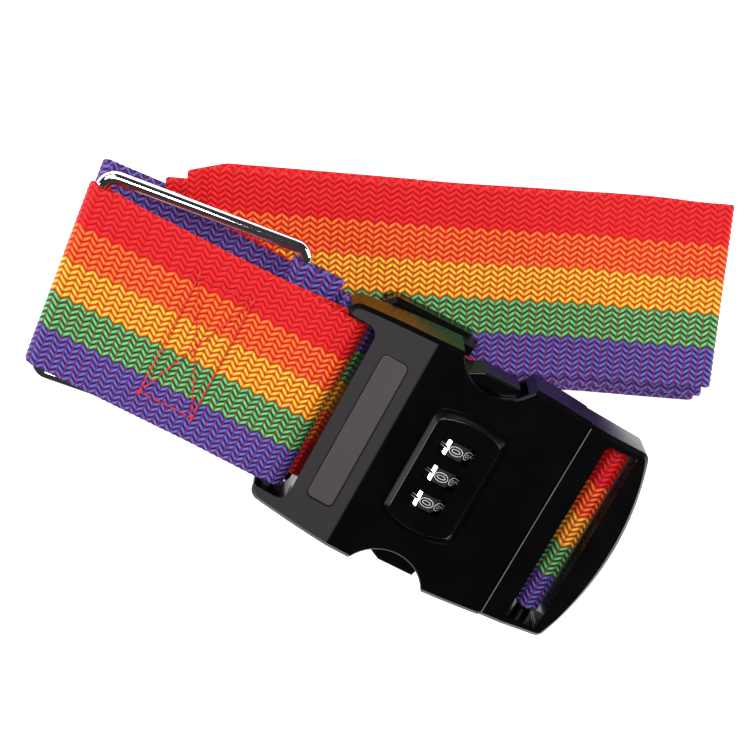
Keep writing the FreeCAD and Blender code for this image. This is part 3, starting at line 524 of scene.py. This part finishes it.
# %% Finishes of the CAD nodes
finishes = {
    buckle_black: ["receptacle_shell", "receptacle_back_cover", "plug_body",
                   "left_prong", "right_prong"],
    slide_black: ["tri_glide"],
    satin: ["name_plate"],
    inner_black: ["locking_bar", "reset_button", "code_cam_1", "code_cam_2", "code_cam_3"],
    wheel_chrome: ["number_wheel_1", "number_wheel_2", "number_wheel_3"],
    spring_steel: ["dial_axle", "cover_screws", "detent_spring",
                   "locking_bar_springs", "reset_spring"],
}
for material, names in finishes.items():
    for name in names:
        mesh = frame["nodes"][name].data
        mesh.materials.clear()
        mesh.materials.append(material)
print("finished", sum(len(names) for names in finishes.values()), "CAD nodes")

# %% [markdown]
# ## The webbing
#
# A strap is a thin band that follows a line, so it is made from that line: straight runs with
# a round bend at each corner, seen from the side, and a narrow closed section carried along it.
# The side that shows gets a fine grid that the weave's rule lifts, so the yarn is real shape.
# The hidden side stays coarse. The selvedges are round and slightly lumpy.


# %% The line that a strap follows
def lay_line(points, radii):
    """Straight runs through (x, z) corners, joined by round bends, as a list of stretches.
    Each is its length, where it starts, where it ends or its first direction in a bend, the
    bend's centre or None, and the bend's radius, negative where it turns clockwise."""
    corners = [np.array(p, float) for p in points]
    parts = []
    start = corners[0]
    for before, corner, after, radius in zip(corners, corners[1:], corners[2:], radii):
        back = (before - corner) / np.linalg.norm(before - corner)
        on = (after - corner) / np.linalg.norm(after - corner)
        half = math.acos(np.clip(back @ on, -1, 1)) / 2
        enter = corner + back * radius / math.tan(half)
        leave = corner + on * radius / math.tan(half)
        centre = corner + (back + on) / np.linalg.norm(back + on) * radius / math.sin(half)
        left = 1 if -back[0] * on[1] + back[1] * on[0] > 0 else -1
        parts.append((np.linalg.norm(enter - start), start, enter, None, 0))
        parts.append((radius * (math.pi - 2 * half), enter, -back, centre, left * radius))
        start = leave
    parts.append((np.linalg.norm(corners[-1] - start), start, corners[-1], None, 0))
    return [p for p in parts if p[0] > 1e-6]


def on_line(parts, s):
    """Place, direction and bend (1 / radius) at the distance s along a line."""
    for length, start, other, centre, radius in parts:
        if s <= length or parts[-1][1] is start:
            if centre is None:
                way = (other - start) / np.linalg.norm(other - start)
                return start + way * s, way, 0.0
            c, n = math.cos(s / radius), math.sin(s / radius)
            turned_by = np.array(((c, -n), (n, c)))
            return centre + turned_by @ (start - centre), turned_by @ other, 1 / abs(radius)
        s -= length
    raise ValueError("the line is shorter than that")


corner_line = lay_line([(0, 0), (10, 0), (10, 10)], [2.0])
print("two runs of 10 mm with a 2 mm bend:", round(sum(p[0] for p in corner_line), 2), "mm")

# %% [markdown]
# The band's grid has to be fine enough for the yarn where it shows, and may be coarse
# elsewhere, because a strap has hundreds of floats and a piece should stay light.

# %% The grid along and across the band
SKIN = 0.5
FINE_ALONG = ZIGZAG / 8
FINE_ACROSS = ROW / 4
COARSE = 1.9
BEND_STEP = 0.45
BENT = 0.05
LOOK_AHEAD = 0.2
SELVEDGE = 0.35


def stations_on(parts, first, last, fine):
    """The distances along the line where the band has a section."""
    stations = [first]
    while stations[-1] < last - LOOK_AHEAD:
        here = stations[-1]
        bend = on_line(parts, here + LOOK_AHEAD)[2]
        close = any(start <= here <= end for start, end in fine)
        step = FINE_ALONG if close else (COARSE if bend < BENT else BEND_STEP)
        stations.append(min(here + step, last))
    return stations


def band_section(fine):
    """The band seen along the strap: across, outwards, and 1 where the woven side shows."""
    step = FINE_ACROSS if fine else COARSE
    inner = WEB_HALF - SELVEDGE
    top = np.linspace(-inner, inner, int(2 * inner / step) + 1)
    low = np.linspace(inner, -inner, int(2 * inner / COARSE) + 1)
    edge = np.array((WEB_HALF - 0.1, WEB_HALF, WEB_HALF - 0.1))
    edge_out = np.array((0.3, 0.0, -0.3))
    across = np.concatenate((top, edge, low, -edge))
    out = np.concatenate((np.full(len(top), SKIN), edge_out,
                          np.full(len(low), -SKIN), -edge_out))
    shows = np.concatenate((np.ones(len(top)), np.zeros(len(across) - len(top))))
    return across, out, shows


print("points round the section:", len(band_section(True)[0]), "fine,",
      len(band_section(False)[0]), "coarse")


# %% Faces, UV map and outward normals
def band_mesh(name, places, count, ring, closed):
    """Quads from each section to the next, and a cap at each end of an open strap."""
    faces = []
    for i in range(count if closed else count - 1):
        a, b = i * ring, (i + 1) % count * ring
        for j in range(ring):
            k = (j + 1) % ring
            faces.append((a + j, a + k, b + k, b + j))
    if not closed:
        faces.append(tuple(range(ring)))
        faces.append(tuple(range((count - 1) * ring, count * ring)))
    mesh = bpy.data.meshes.new(name)
    mesh.from_pydata(places, [], faces)
    return mesh


def map_band(mesh, s, woven, total, closed):
    """The UV map, in metres along and across. A closed band's last faces run on to its end."""
    loops = np.zeros(len(mesh.loops), int)
    mesh.loops.foreach_get("vertex_index", loops)
    uv_all = np.stack((np.repeat(s, len(woven)), np.tile(woven, len(s))), 1)[loops] * MM
    if closed:
        uv_all.reshape(-1, 4, 2)[-len(woven):, 2:, 0] = total * MM
    mesh.uv_layers.new(name="UVMap").data.foreach_set("uv", uv_all.reshape(-1))


def face_outwards(mesh):
    """Turns every face of a closed mesh to look out."""
    work = bmesh.new()
    work.from_mesh(mesh)
    bmesh.ops.recalc_face_normals(work, faces=work.faces)
    work.to_mesh(mesh)
    work.free()


# %% [markdown]
# The lift of the yarn fades out at the selvedges and grows in a bend, where the floats open
# up. Two slow waves keep a long run from lying dead flat.

# %% One strap
YARN_LIFT = 0.20
YARN_MIDDLE = 0.35
LIFT_FADE = 1.2
BEND_GAIN = 2.0
BEND_LIMIT = 0.4
LUMP = 0.18


def yarn_lift(s, across, woven, shows, bend):
    """How far the yarn stands out at each point of the grid, in millimetres."""
    fade = np.clip((WEB_HALF - np.abs(across)) / LIFT_FADE, 0, 1)
    opened = 1 + BEND_GAIN * np.clip(bend, 0, BEND_LIMIT)
    lift = weave_height(s[:, None], woven[None, :]) - YARN_MIDDLE
    return lift * YARN_LIFT * shows * fade * opened[:, None]


def slow_wave(s, across):
    """Long shallow waves, about 1 high, for a run that doesn't lie dead flat."""
    return np.sin(s / 8.3)[:, None] * np.cos(across / 11.0)[None, :] + np.sin(s / 21.0 + 1)[:, None]


def strap(name, points, radii, place, side, fine=(), shift=None, span=None, closed=False,
          wave=0.0, turned_over=False):
    """Webbing along a line. fine lists the stretches whose weave is raised, shift moves it
    across, and turned_over puts the blue edge where the red one would be."""
    parts = lay_line(points, radii)
    total = sum(p[0] for p in parts)
    first, last = span or (0.0, total)
    stations = stations_on(parts, first, last, fine)
    if closed:
        stations.pop()
    s = np.array(stations)
    found = [on_line(parts, value) for value in stations]
    centre = np.array([f[0] for f in found])
    way = np.array([f[1] for f in found])
    bend = np.array([f[2] for f in found])
    normal = np.stack((-way[:, 1], way[:, 0]), 1) * side

    across, out, shows = band_section(fine)
    woven = -across if turned_over else across
    depth = out[None, :] + yarn_lift(s, across, woven, shows, bend)
    lump = np.sign(across) * (np.abs(across) > WEB_HALF - 0.2) * LUMP
    lumps = lump[None, :] * np.abs(np.sin(2 * np.pi * s / ZIGZAG))[:, None]
    moved = shift(s) if shift else np.zeros(len(s))
    x = centre[:, :1] + normal[:, :1] * depth
    y = across[None, :] + lumps + moved[:, None]
    z = centre[:, 1:] + normal[:, 1:] * depth + wave * slow_wave(s, across)
    places = place(np.stack((x, y, z), 2).reshape(-1, 3))

    mesh = band_mesh(name, ((places + BUCKLE_START) * MM).tolist(), len(s), len(across), closed)
    map_band(mesh, s, woven, total, closed)
    mesh.shade_smooth()
    mesh.materials.append(webbing)
    face_outwards(mesh)
    print(name, len(mesh.polygons), "faces,", round(last - first, 1), "mm long")
    return in_scene(name, mesh), last - first


# %% [markdown]
# A strap is drawn along X and then put in its place, so each run has a small function that
# turns it, slants it or moves it. Two of them are shared: a turn about an upright line, and an
# ease from 0 to 1 that starts and ends gently.


# %% Turning and easing
def turned(degrees, x, y, dy=0.0):
    """Turns a strap drawn along X about an upright line at (x, y), after moving it dy across."""
    c, n = math.cos(math.radians(degrees)), math.sin(math.radians(degrees))

    def move(p):
        px, py = p[:, 0] - x, p[:, 1] + dy - y
        return np.stack((x + c * px - n * py, y + n * px + c * py, p[:, 2]), 1)
    return move


def ease(x, start, end):
    """0 at start, 1 at end, with a gentle beginning and end."""
    share = np.clip((x - start) / (end - start), 0, 1)
    return share * share * (3 - 2 * share)


print("halfway along an ease:", float(ease(np.array(5.0), 0.0, 10.0)))

# %% [markdown]
# ### The pile
#
# The spare strap is folded to and fro into a flat pile. Hand folding is never exact, so each
# pair of layers steps a little back and sideways, and the folds puff up at their ends. The far
# end sags from the height of the buckle's stack down to the surface.

# %% The pile's line
PILE_ANGLE = math.radians(23.5)
PILE_START = (-38.3, 15.5)
PILE_LAYERS = 6
PILE_RIGHT = (135.7, 137.1, 138.5)
PILE_LEFT = (6.0, -10.2, -4.3, 1.0)
PILE_SAG = (66.0, 106.0)
PILE_HEIGHT = 3.9
PILE_FLOOR = 0.6
SAG_BEND = 30.0
PUFF = 0.45
CORNERS_IN_LAYER = 4
TIGHTEST = 0.999

pile_ends = [(PILE_LEFT[(layer + 1) // 2], PILE_RIGHT[layer // 2]) for layer in range(PILE_LAYERS)]
pile_points = []
for layer, (left_end, right_end) in enumerate(pile_ends):
    low = PILE_FLOOR + LAYER_PITCH * layer
    run = [(left_end, low + PILE_HEIGHT), (PILE_SAG[0], low + PILE_HEIGHT),
           (PILE_SAG[1], low + 0.3), (right_end, low + PUFF * layer)]
    pile_points += run[::-1] if layer % 2 else run

pile_radii = [SAG_BEND] * (len(pile_points) - 2)
for layer in range(PILE_LAYERS - 1):
    pitch = LAYER_PITCH if layer % 2 else LAYER_PITCH + PUFF
    corner = CORNERS_IN_LAYER * (layer + 1) - 2
    pile_radii[corner] = pile_radii[corner + 1] = pitch / 2 * TIGHTEST
pile_total = sum(p[0] for p in lay_line(pile_points, pile_radii))
print("pile strap is", round(pile_total, 1), "mm long")

# %% How the layers lie beside each other
ends = np.cumsum([0.0] + [right - left for left, right in pile_ends])
ends = ends * pile_total / ends[-1]
TOP_WAVE = ((ends[4] + 10.0, 1.0), (ends[4] + 50.0, 0.8))
SIDEWAYS = (-5.0, -6.0, -4.6, -3.6, -1.6, 0.0, 0.0)
knots = [*zip(ends[:5], SIDEWAYS[:5]), *TOP_WAVE, *zip(ends[5:], SIDEWAYS[5:])]
knots_s, knots_y = np.array(knots).T
RIPPLE = 0.35
RIPPLE_LENGTH = 5.0
RIPPLE_FADE = 22.0


def pile_shift(s):
    """How far the strap lies sideways from the pile's middle line."""
    past = s - ends[5]
    ripple = RIPPLE * np.sin(past / RIPPLE_LENGTH) * np.exp(-np.abs(past) / RIPPLE_FADE)
    return np.interp(s, knots_s, knots_y) + ripple


def pile_place(p):
    """Turns the pile to its heading and sets it at its start."""
    c, n = math.cos(PILE_ANGLE), math.sin(PILE_ANGLE)
    x = PILE_START[0] + c * p[:, 0] - n * p[:, 1]
    y = PILE_START[1] + n * p[:, 0] + c * p[:, 1]
    return np.stack((x, y, p[:, 2]), 1)


print("layers end at, mm along the strap:", [round(float(v), 1) for v in ends])

# %% The pile's two pieces
pile_split = ends[4] + 60.0
pile_top, pile_top_length = strap(
    "strap_pile_top", pile_points, pile_radii, pile_place, -1, shift=pile_shift,
    fine=[(ends[5] - 3.0, pile_total)], span=(pile_split, pile_total), wave=0.10)
pile_low, pile_low_length = strap(
    "strap_pile_lower", pile_points, pile_radii, pile_place, -1, shift=pile_shift,
    span=(0.0, pile_split), wave=0.05)

# %% [markdown]
# ### The runs beside the pile
#
# Under the buckle the strap passes to and fro three times: the run that returns from the left
# fold, the run out of the slide, and the two layers that hold the plug. The returning run's left
# fold is slanted, as the link's is, so that it lies along the ring.

# %% The returning run
RETURN_TURN = turned(-1.1, 30.0, 1.6, 1.6)
RETURN_SKEW = math.tan(math.radians(7.4))
RETURN_SKEW_START = -30.0
RETURN_SKEW_END = -64.0


def return_place(p):
    """Slants the left fold, then turns the run a little."""
    share = ease(p[:, 0], RETURN_SKEW_START, RETURN_SKEW_END)
    slanted = p.copy()
    slanted[:, 0] -= share * (p[:, 1] - WEB_HALF) * RETURN_SKEW
    return RETURN_TURN(slanted)


return_points = [(40, 0.6), (-43, 0.6), (-68, 10.2), (-72.6, 11.8), (-72.6, 16.8), (-10, 16.8),
                 (4, 19.2), (46, 19.2), (46, 20.5), (4, 20.5), (-2.2, 19.9)]
return_radii = [20, 8, 2.4, 2.4, 12, 12, 0.649, 0.649, 12]
return_strap, return_length = strap(
    "strap_return", return_points, return_radii, return_place, 1,
    fine=[(104.0, 194.0)], wave=0.05, turned_over=True)

# %% The run out of the slide
CROSS_TURN = turned(-3.0, 8.3, 1.0, 1.0)
cross_points = [(8.3, 14.5), (-54.2, 14.5), (-54.2, 12.6), (-28.7, 12.6)]
cross_radii = [0.9, 0.9]
cross_strap, cross_length = strap(
    "strap_cross", cross_points, cross_radii, CROSS_TURN, -1, fine=[(0.0, 70.0)], wave=0.05)

# %% The layers that hold the plug
PLUG_MOVE = turned(0.0, 0.0, 0.0, 1.0)
plug_points = [(10.6, 14.5), (46, 14.5), (80.6, 18.6), (83.75, 22), (83.75, 31.2),
               (77.95, 31.2), (77.95, 21.2), (72, 18.9), (46, 15.8), (-5, 15.8)]
plug_radii = [40, 2.6, 2.6, 2.88, 2.88, 2.0, 14, 40]
plug_strap, plug_length = strap(
    "strap_plug", plug_points, plug_radii, PLUG_MOVE, -1, fine=[(76.0, 142.0)])

# %% [markdown]
# ### The link and the ring's end
#
# A short sewn loop ties the ring to the receptacle. Its left fold lies along the ring's bar,
# which is turned a few degrees, so the loop is skewed there and square at the buckle.

# %% The link
RING_YAW = math.radians(5.6)
LINK_LEFT = -67.2
LINK_FOLD = LINK_LEFT - 2.65
RING_MIDDLE_Y = 0.8
SKEW_START = -25.0
SKEW_END = -55.0


def link_place(p):
    """Slants the left fold to the ring's heading."""
    share = ease(p[:, 0], SKEW_START, SKEW_END)
    x = p[:, 0] - share * (p[:, 1] - RING_MIDDLE_Y) * math.tan(RING_YAW)
    return np.stack((x, p[:, 1], p[:, 2]), 1)


link_points = [(-31, 27.0), (LINK_LEFT + 11, 27.0), (LINK_FOLD, 22.7), (LINK_FOLD, 28.3),
               (-20, 28.3), (-3.0, 29.2), (6.7, 29.2), (6.7, 22.6), (-19, 27.0), (-31, 27.0)]
link_radii = [8, 2.3, 2.5, 30, 30, 3.2, 3.2, 10]
link_webbing, link_length = strap(
    "link_webbing", link_points, link_radii, link_place, 1, fine=[(34.0, 120.0)], closed=True)

# %% The ring's end of the long strap
RING_BAR_X = -12.4
END_FOLD = RING_BAR_X - 2.65
RING_END_Y = 5.3
END_SKEW_START = -4.0
END_SKEW_OVER = -8.0


def ring_end_place(p):
    """Slants the fold to the ring's heading and moves the strap across."""
    share = np.clip((p[:, 0] - END_SKEW_START) / END_SKEW_OVER, 0, 1)
    x = p[:, 0] - share * p[:, 1] * math.tan(RING_YAW)
    return np.stack((x, p[:, 1] + RING_END_Y, p[:, 2]), 1)


end_points = [(-3.3, 19.6), (END_FOLD, 18.35), (END_FOLD, 23.65), (-3.3, 20.9)]
end_radii = [2.4, 2.4]
ring_end, ring_end_length = strap(
    "ring_end_webbing", end_points, end_radii, ring_end_place, 1,
    fine=[(0.0, 40.0)], turned_over=True)

# %% [markdown]
# ### The square ring
#
# Round steel wire bent to a rectangle and plated. A plain tube along a rounded rectangle, finely
# divided and smooth, because a mirror finish shows every facet.

# %% The ring's middle line
RING_WIRE = 1.75
RING_LENGTH = 55.3
RING_HALF = 27.85
RING_CORNER = 3.4
RING_DROP = 4.6
RING_START = np.array((LINK_LEFT, RING_MIDDLE_Y, 25.6))
CORNER_STEPS = 12

outline = []
for cx, cy, from_angle in ((RING_LENGTH, RING_HALF, 0), (0, RING_HALF, 90),
                           (0, -RING_HALF, 180), (RING_LENGTH, -RING_HALF, 270)):
    inwards = np.array((-RING_CORNER if cx else RING_CORNER, -math.copysign(RING_CORNER, cy)))
    middle = np.array((cx, cy)) + inwards
    for k in range(CORNER_STEPS + 1):
        a = math.radians(from_angle + 90 * k / CORNER_STEPS)
        outline.append(middle + RING_CORNER * np.array((math.cos(a), math.sin(a))))
outline = np.array(outline)
following = np.roll(outline, -1, 0) - np.roll(outline, 1, 0)
following /= np.linalg.norm(following, axis=1)[:, None]
outward = np.stack((following[:, 1], -following[:, 0]), 1)
print("ring outline has", len(outline), "points")

# %% The ring's wire
SIDES = 32
RING_TILT = math.asin(RING_DROP / RING_LENGTH)


def ring_place(x, y, z):
    """A point of the flat ring, once tilted, turned and set in its place."""
    x, z = (x * math.cos(RING_TILT) + z * math.sin(RING_TILT),
            -x * math.sin(RING_TILT) + z * math.cos(RING_TILT))
    x, y = (x * math.cos(RING_YAW) - y * math.sin(RING_YAW),
            x * math.sin(RING_YAW) + y * math.cos(RING_YAW))
    return (np.array((x, y, z)) + RING_START + BUCKLE_START) * MM


ring_verts = []
for (px, py), (ox, oy) in zip(outline, outward):
    for k in range(SIDES):
        a = 2 * math.pi * k / SIDES
        reach = RING_WIRE * math.cos(a)
        ring_verts.append(ring_place(px + ox * reach, py + oy * reach, RING_WIRE * math.sin(a)))
ring_mesh = band_mesh("chrome_ring", ring_verts, len(outline), SIDES, True)
ring_mesh.shade_smooth()
ring_mesh.materials.append(ring_chrome)
face_outwards(ring_mesh)
chrome_ring = in_scene("chrome_ring", ring_mesh)
print("ring", len(ring_mesh.polygons), "faces")

# %% [markdown]
# ### The link's stitches
#
# A sewn box with a cross holds the link's two layers. A lockstitch shows as a row of short
# thread lumps, so Geometry Nodes sets one lump at each step along the seam's line.

# %% The seam's line
STITCH_Z = 29.08
SEAM_X = (-37.6, -22.4)
SEAM_Y = (-18.6, 16.6)
SEAM_RUNS = [(0, 1), (1, 2), (2, 3), (3, 0), (0, 2), (1, 3)]

seam_corners = [row(SEAM_X[i], SEAM_Y[j], STITCH_Z) for i, j in ((0, 0), (1, 0), (1, 1), (0, 1))]
seam_points = [seam_corners[i] for run in SEAM_RUNS for i in run]
seam_mesh = bpy.data.meshes.new("link_stitches")
seam_mesh.from_pydata(seam_points, [(2 * i, 2 * i + 1) for i in range(len(SEAM_RUNS))], [])
seam_line = in_scene("link_stitches", seam_mesh)
print("seam has", len(seam_mesh.edges), "runs")

# %% The tree that sets a lump at each stitch
STITCH_SIZES = {"Stitch pitch": 2.4, "Stitch length": 1.08, "Thread radius": 0.28}

stitches = bpy.data.node_groups.new("stitches", "GeometryNodeTree")
stitches.interface.new_socket("Geometry", in_out="INPUT", socket_type="NodeSocketGeometry")
size_sockets = {label: stitches.interface.new_socket(label, in_out="INPUT",
                                                     socket_type="NodeSocketFloat")
                for label in STITCH_SIZES}
stitches.interface.new_socket("Geometry", in_out="OUTPUT", socket_type="NodeSocketGeometry")
given = add(stitches, "NodeGroupInput")
line = add(stitches, "GeometryNodeMeshToCurve", (), {"Mesh": given.outputs["Geometry"]})
steps = add(stitches, "GeometryNodeResampleCurve", {"mode": "LENGTH"},
            {"Curve": line.outputs["Curve"], "Length": given.outputs["Stitch pitch"]})
tangent = add(stitches, "GeometryNodeInputTangent")
aim = add(stitches, "FunctionNodeAlignRotationToVector", {"axis": "Z"},
          {"Vector": tangent.outputs["Tangent"]})
lump = add(stitches, "GeometryNodeMeshUVSphere", (), {"Segments": 8, "Rings": 6, "Radius": 1.0})
size = add(stitches, "ShaderNodeCombineXYZ", (),
           {"X": given.outputs["Thread radius"], "Y": given.outputs["Thread radius"],
            "Z": given.outputs["Stitch length"]})
placed = add(stitches, "GeometryNodeInstanceOnPoints", (),
             {"Points": steps.outputs["Curve"], "Instance": lump.outputs["Mesh"],
              "Rotation": aim.outputs["Rotation"], "Scale": size.outputs["Vector"]})
real = add(stitches, "GeometryNodeRealizeInstances", (), {0: placed.outputs["Instances"]})
smooth = add(stitches, "GeometryNodeSetShadeSmooth", (), {0: real.outputs[0]})
finish = add(stitches, "GeometryNodeSetMaterial", (),
             {"Geometry": smooth.outputs[0], "Material": thread})
add(stitches, "NodeGroupOutput", (), {"Geometry": finish.outputs["Geometry"]})
print("stitch tree has", len(stitches.nodes), "nodes")

# %% The stitches as a plain mesh
modifier = seam_line.modifiers.new("stitches", "NODES")
modifier.node_group = stitches
for label, value in STITCH_SIZES.items():
    modifier[size_sockets[label].identifier] = value * MM
grown = seam_line.evaluated_get(bpy.context.evaluated_depsgraph_get())
stitched = bpy.data.meshes.new_from_object(grown)
seam_line.modifiers.clear()
seam_line.data = stitched
stitched.name = "link_stitches"
print("stitches:", len(stitched.polygons), "faces")

# %% [markdown]
# ### The wheels' digits
#
# Each wheel has ten flat facets, with a digit on each, and the next digit up comes into view
# as the wheel is rolled. The digits are black with a fine white rim, so each is two flat
# letters, a wide white one and a narrower black one that stands a hair higher. Numbers are the
# only lettering on the buckle.


# %% One digit
def digit_mesh(text, size, grow, thick):
    """One digit as a flat mesh, centred, in metres. Its sizes are in millimetres."""
    curve = bpy.data.curves.new("digit", "FONT")
    curve.body = text
    curve.size = size * MM
    curve.align_x = "CENTER"
    curve.offset = grow * MM
    curve.extrude = thick * MM
    curve.resolution_u = 3
    holder = in_scene("digit", curve)
    drawn = holder.evaluated_get(bpy.context.evaluated_depsgraph_get())
    made = bpy.data.meshes.new_from_object(drawn)
    bpy.data.objects.remove(holder)
    bpy.data.curves.remove(curve)
    xs = [v.co.x for v in made.vertices]
    ys = [v.co.y for v in made.vertices]
    middle = Vector(((min(xs) + max(xs)) / 2, (min(ys) + max(ys)) / 2, 0))
    made.transform(Matrix.Translation(-middle))
    return made


def join_meshes(name, meshes, materials):
    """Several (mesh, material number) pairs as one object."""
    work = bmesh.new()
    for mesh, index in meshes:
        before = len(work.faces)
        work.from_mesh(mesh)
        work.faces.ensure_lookup_table()
        for face in work.faces[before:]:
            face.material_index = index
    joined = bpy.data.meshes.new(name)
    work.to_mesh(joined)
    work.free()
    for material in materials:
        joined.materials.append(material)
    return in_scene(name, joined)


# %% Digits round the three wheels
DIAL_X = 41.4
DIAL_Z = BUCKLE_BASE + 9.5
DIAL_PITCH = 8.0
WHEEL_RADIUS = 7.0
FACETS = 10
FACET_DISTANCE = WHEEL_RADIUS * math.cos(math.pi / FACETS)
DIGIT_SIZE = 5.0
DIGIT_LAYERS = ((0.16, 0.012, 0), (0.05, 0.024, 1))

dial_digits = []
for wheel, y in enumerate((-DIAL_PITCH, 0.0, DIAL_PITCH), 1):
    made = []
    for digit in range(FACETS):
        angle = math.radians(360 / FACETS * digit)
        outwards = Vector((-math.sin(angle), 0, math.cos(angle)))
        up = Vector((-math.cos(angle), 0, -math.sin(angle)))
        right = up.cross(outwards)
        facing = Matrix((right, up, outwards)).transposed().to_4x4()
        facet = row(DIAL_X, y, DIAL_Z) + outwards * FACET_DISTANCE * MM
        for grow, thick, index in DIGIT_LAYERS:
            mesh = digit_mesh(str(digit), DIGIT_SIZE, grow, thick)
            mesh.transform(Matrix.Translation(facet) @ facing)
            made.append((mesh, index))
    dial_digits.append(join_meshes(f"dial_digits_{wheel}", made, [digit_rim, digit_black]))
print("digits on", len(dial_digits), "wheels")

# %% [markdown]
# ## Bodies
#
# Each piece rides on the body it moves with. The plug's layers and the ring's end ride on no
# body and stay where they lie.

# %% Riding, and two straps fixed in place
riders = ((pile_top, "bundle"), (pile_low, "bundle"), (return_strap, "bundle"),
          (cross_strap, "bundle"), (link_webbing, "link"), (seam_line, "link"),
          (chrome_ring, "link"))
for piece, body in riders:
    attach(piece, body)
for number, digits in enumerate(dial_digits, 1):
    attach(digits, f"dial_{number}")
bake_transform(plug_strap)
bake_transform(ring_end)
print("pieces that ride on one body:", len(riders) + len(dial_digits))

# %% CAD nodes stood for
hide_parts("folded_pile")
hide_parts("folded_pile")
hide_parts("return_run")
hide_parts("cross_run")
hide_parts("plug_strap")
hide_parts("link_strap")
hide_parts("ring_end_loop")
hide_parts("link_stitching")
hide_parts("square_ring")

# %% [markdown]
# ## Size
#
# The box round the finished model, apart from the floor, in millimetres. The finished
# model has to stay the size of the CAD model.

low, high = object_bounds()
print("visual box, mm:", [round(v * 1000, 1) for v in (*low, *high)])
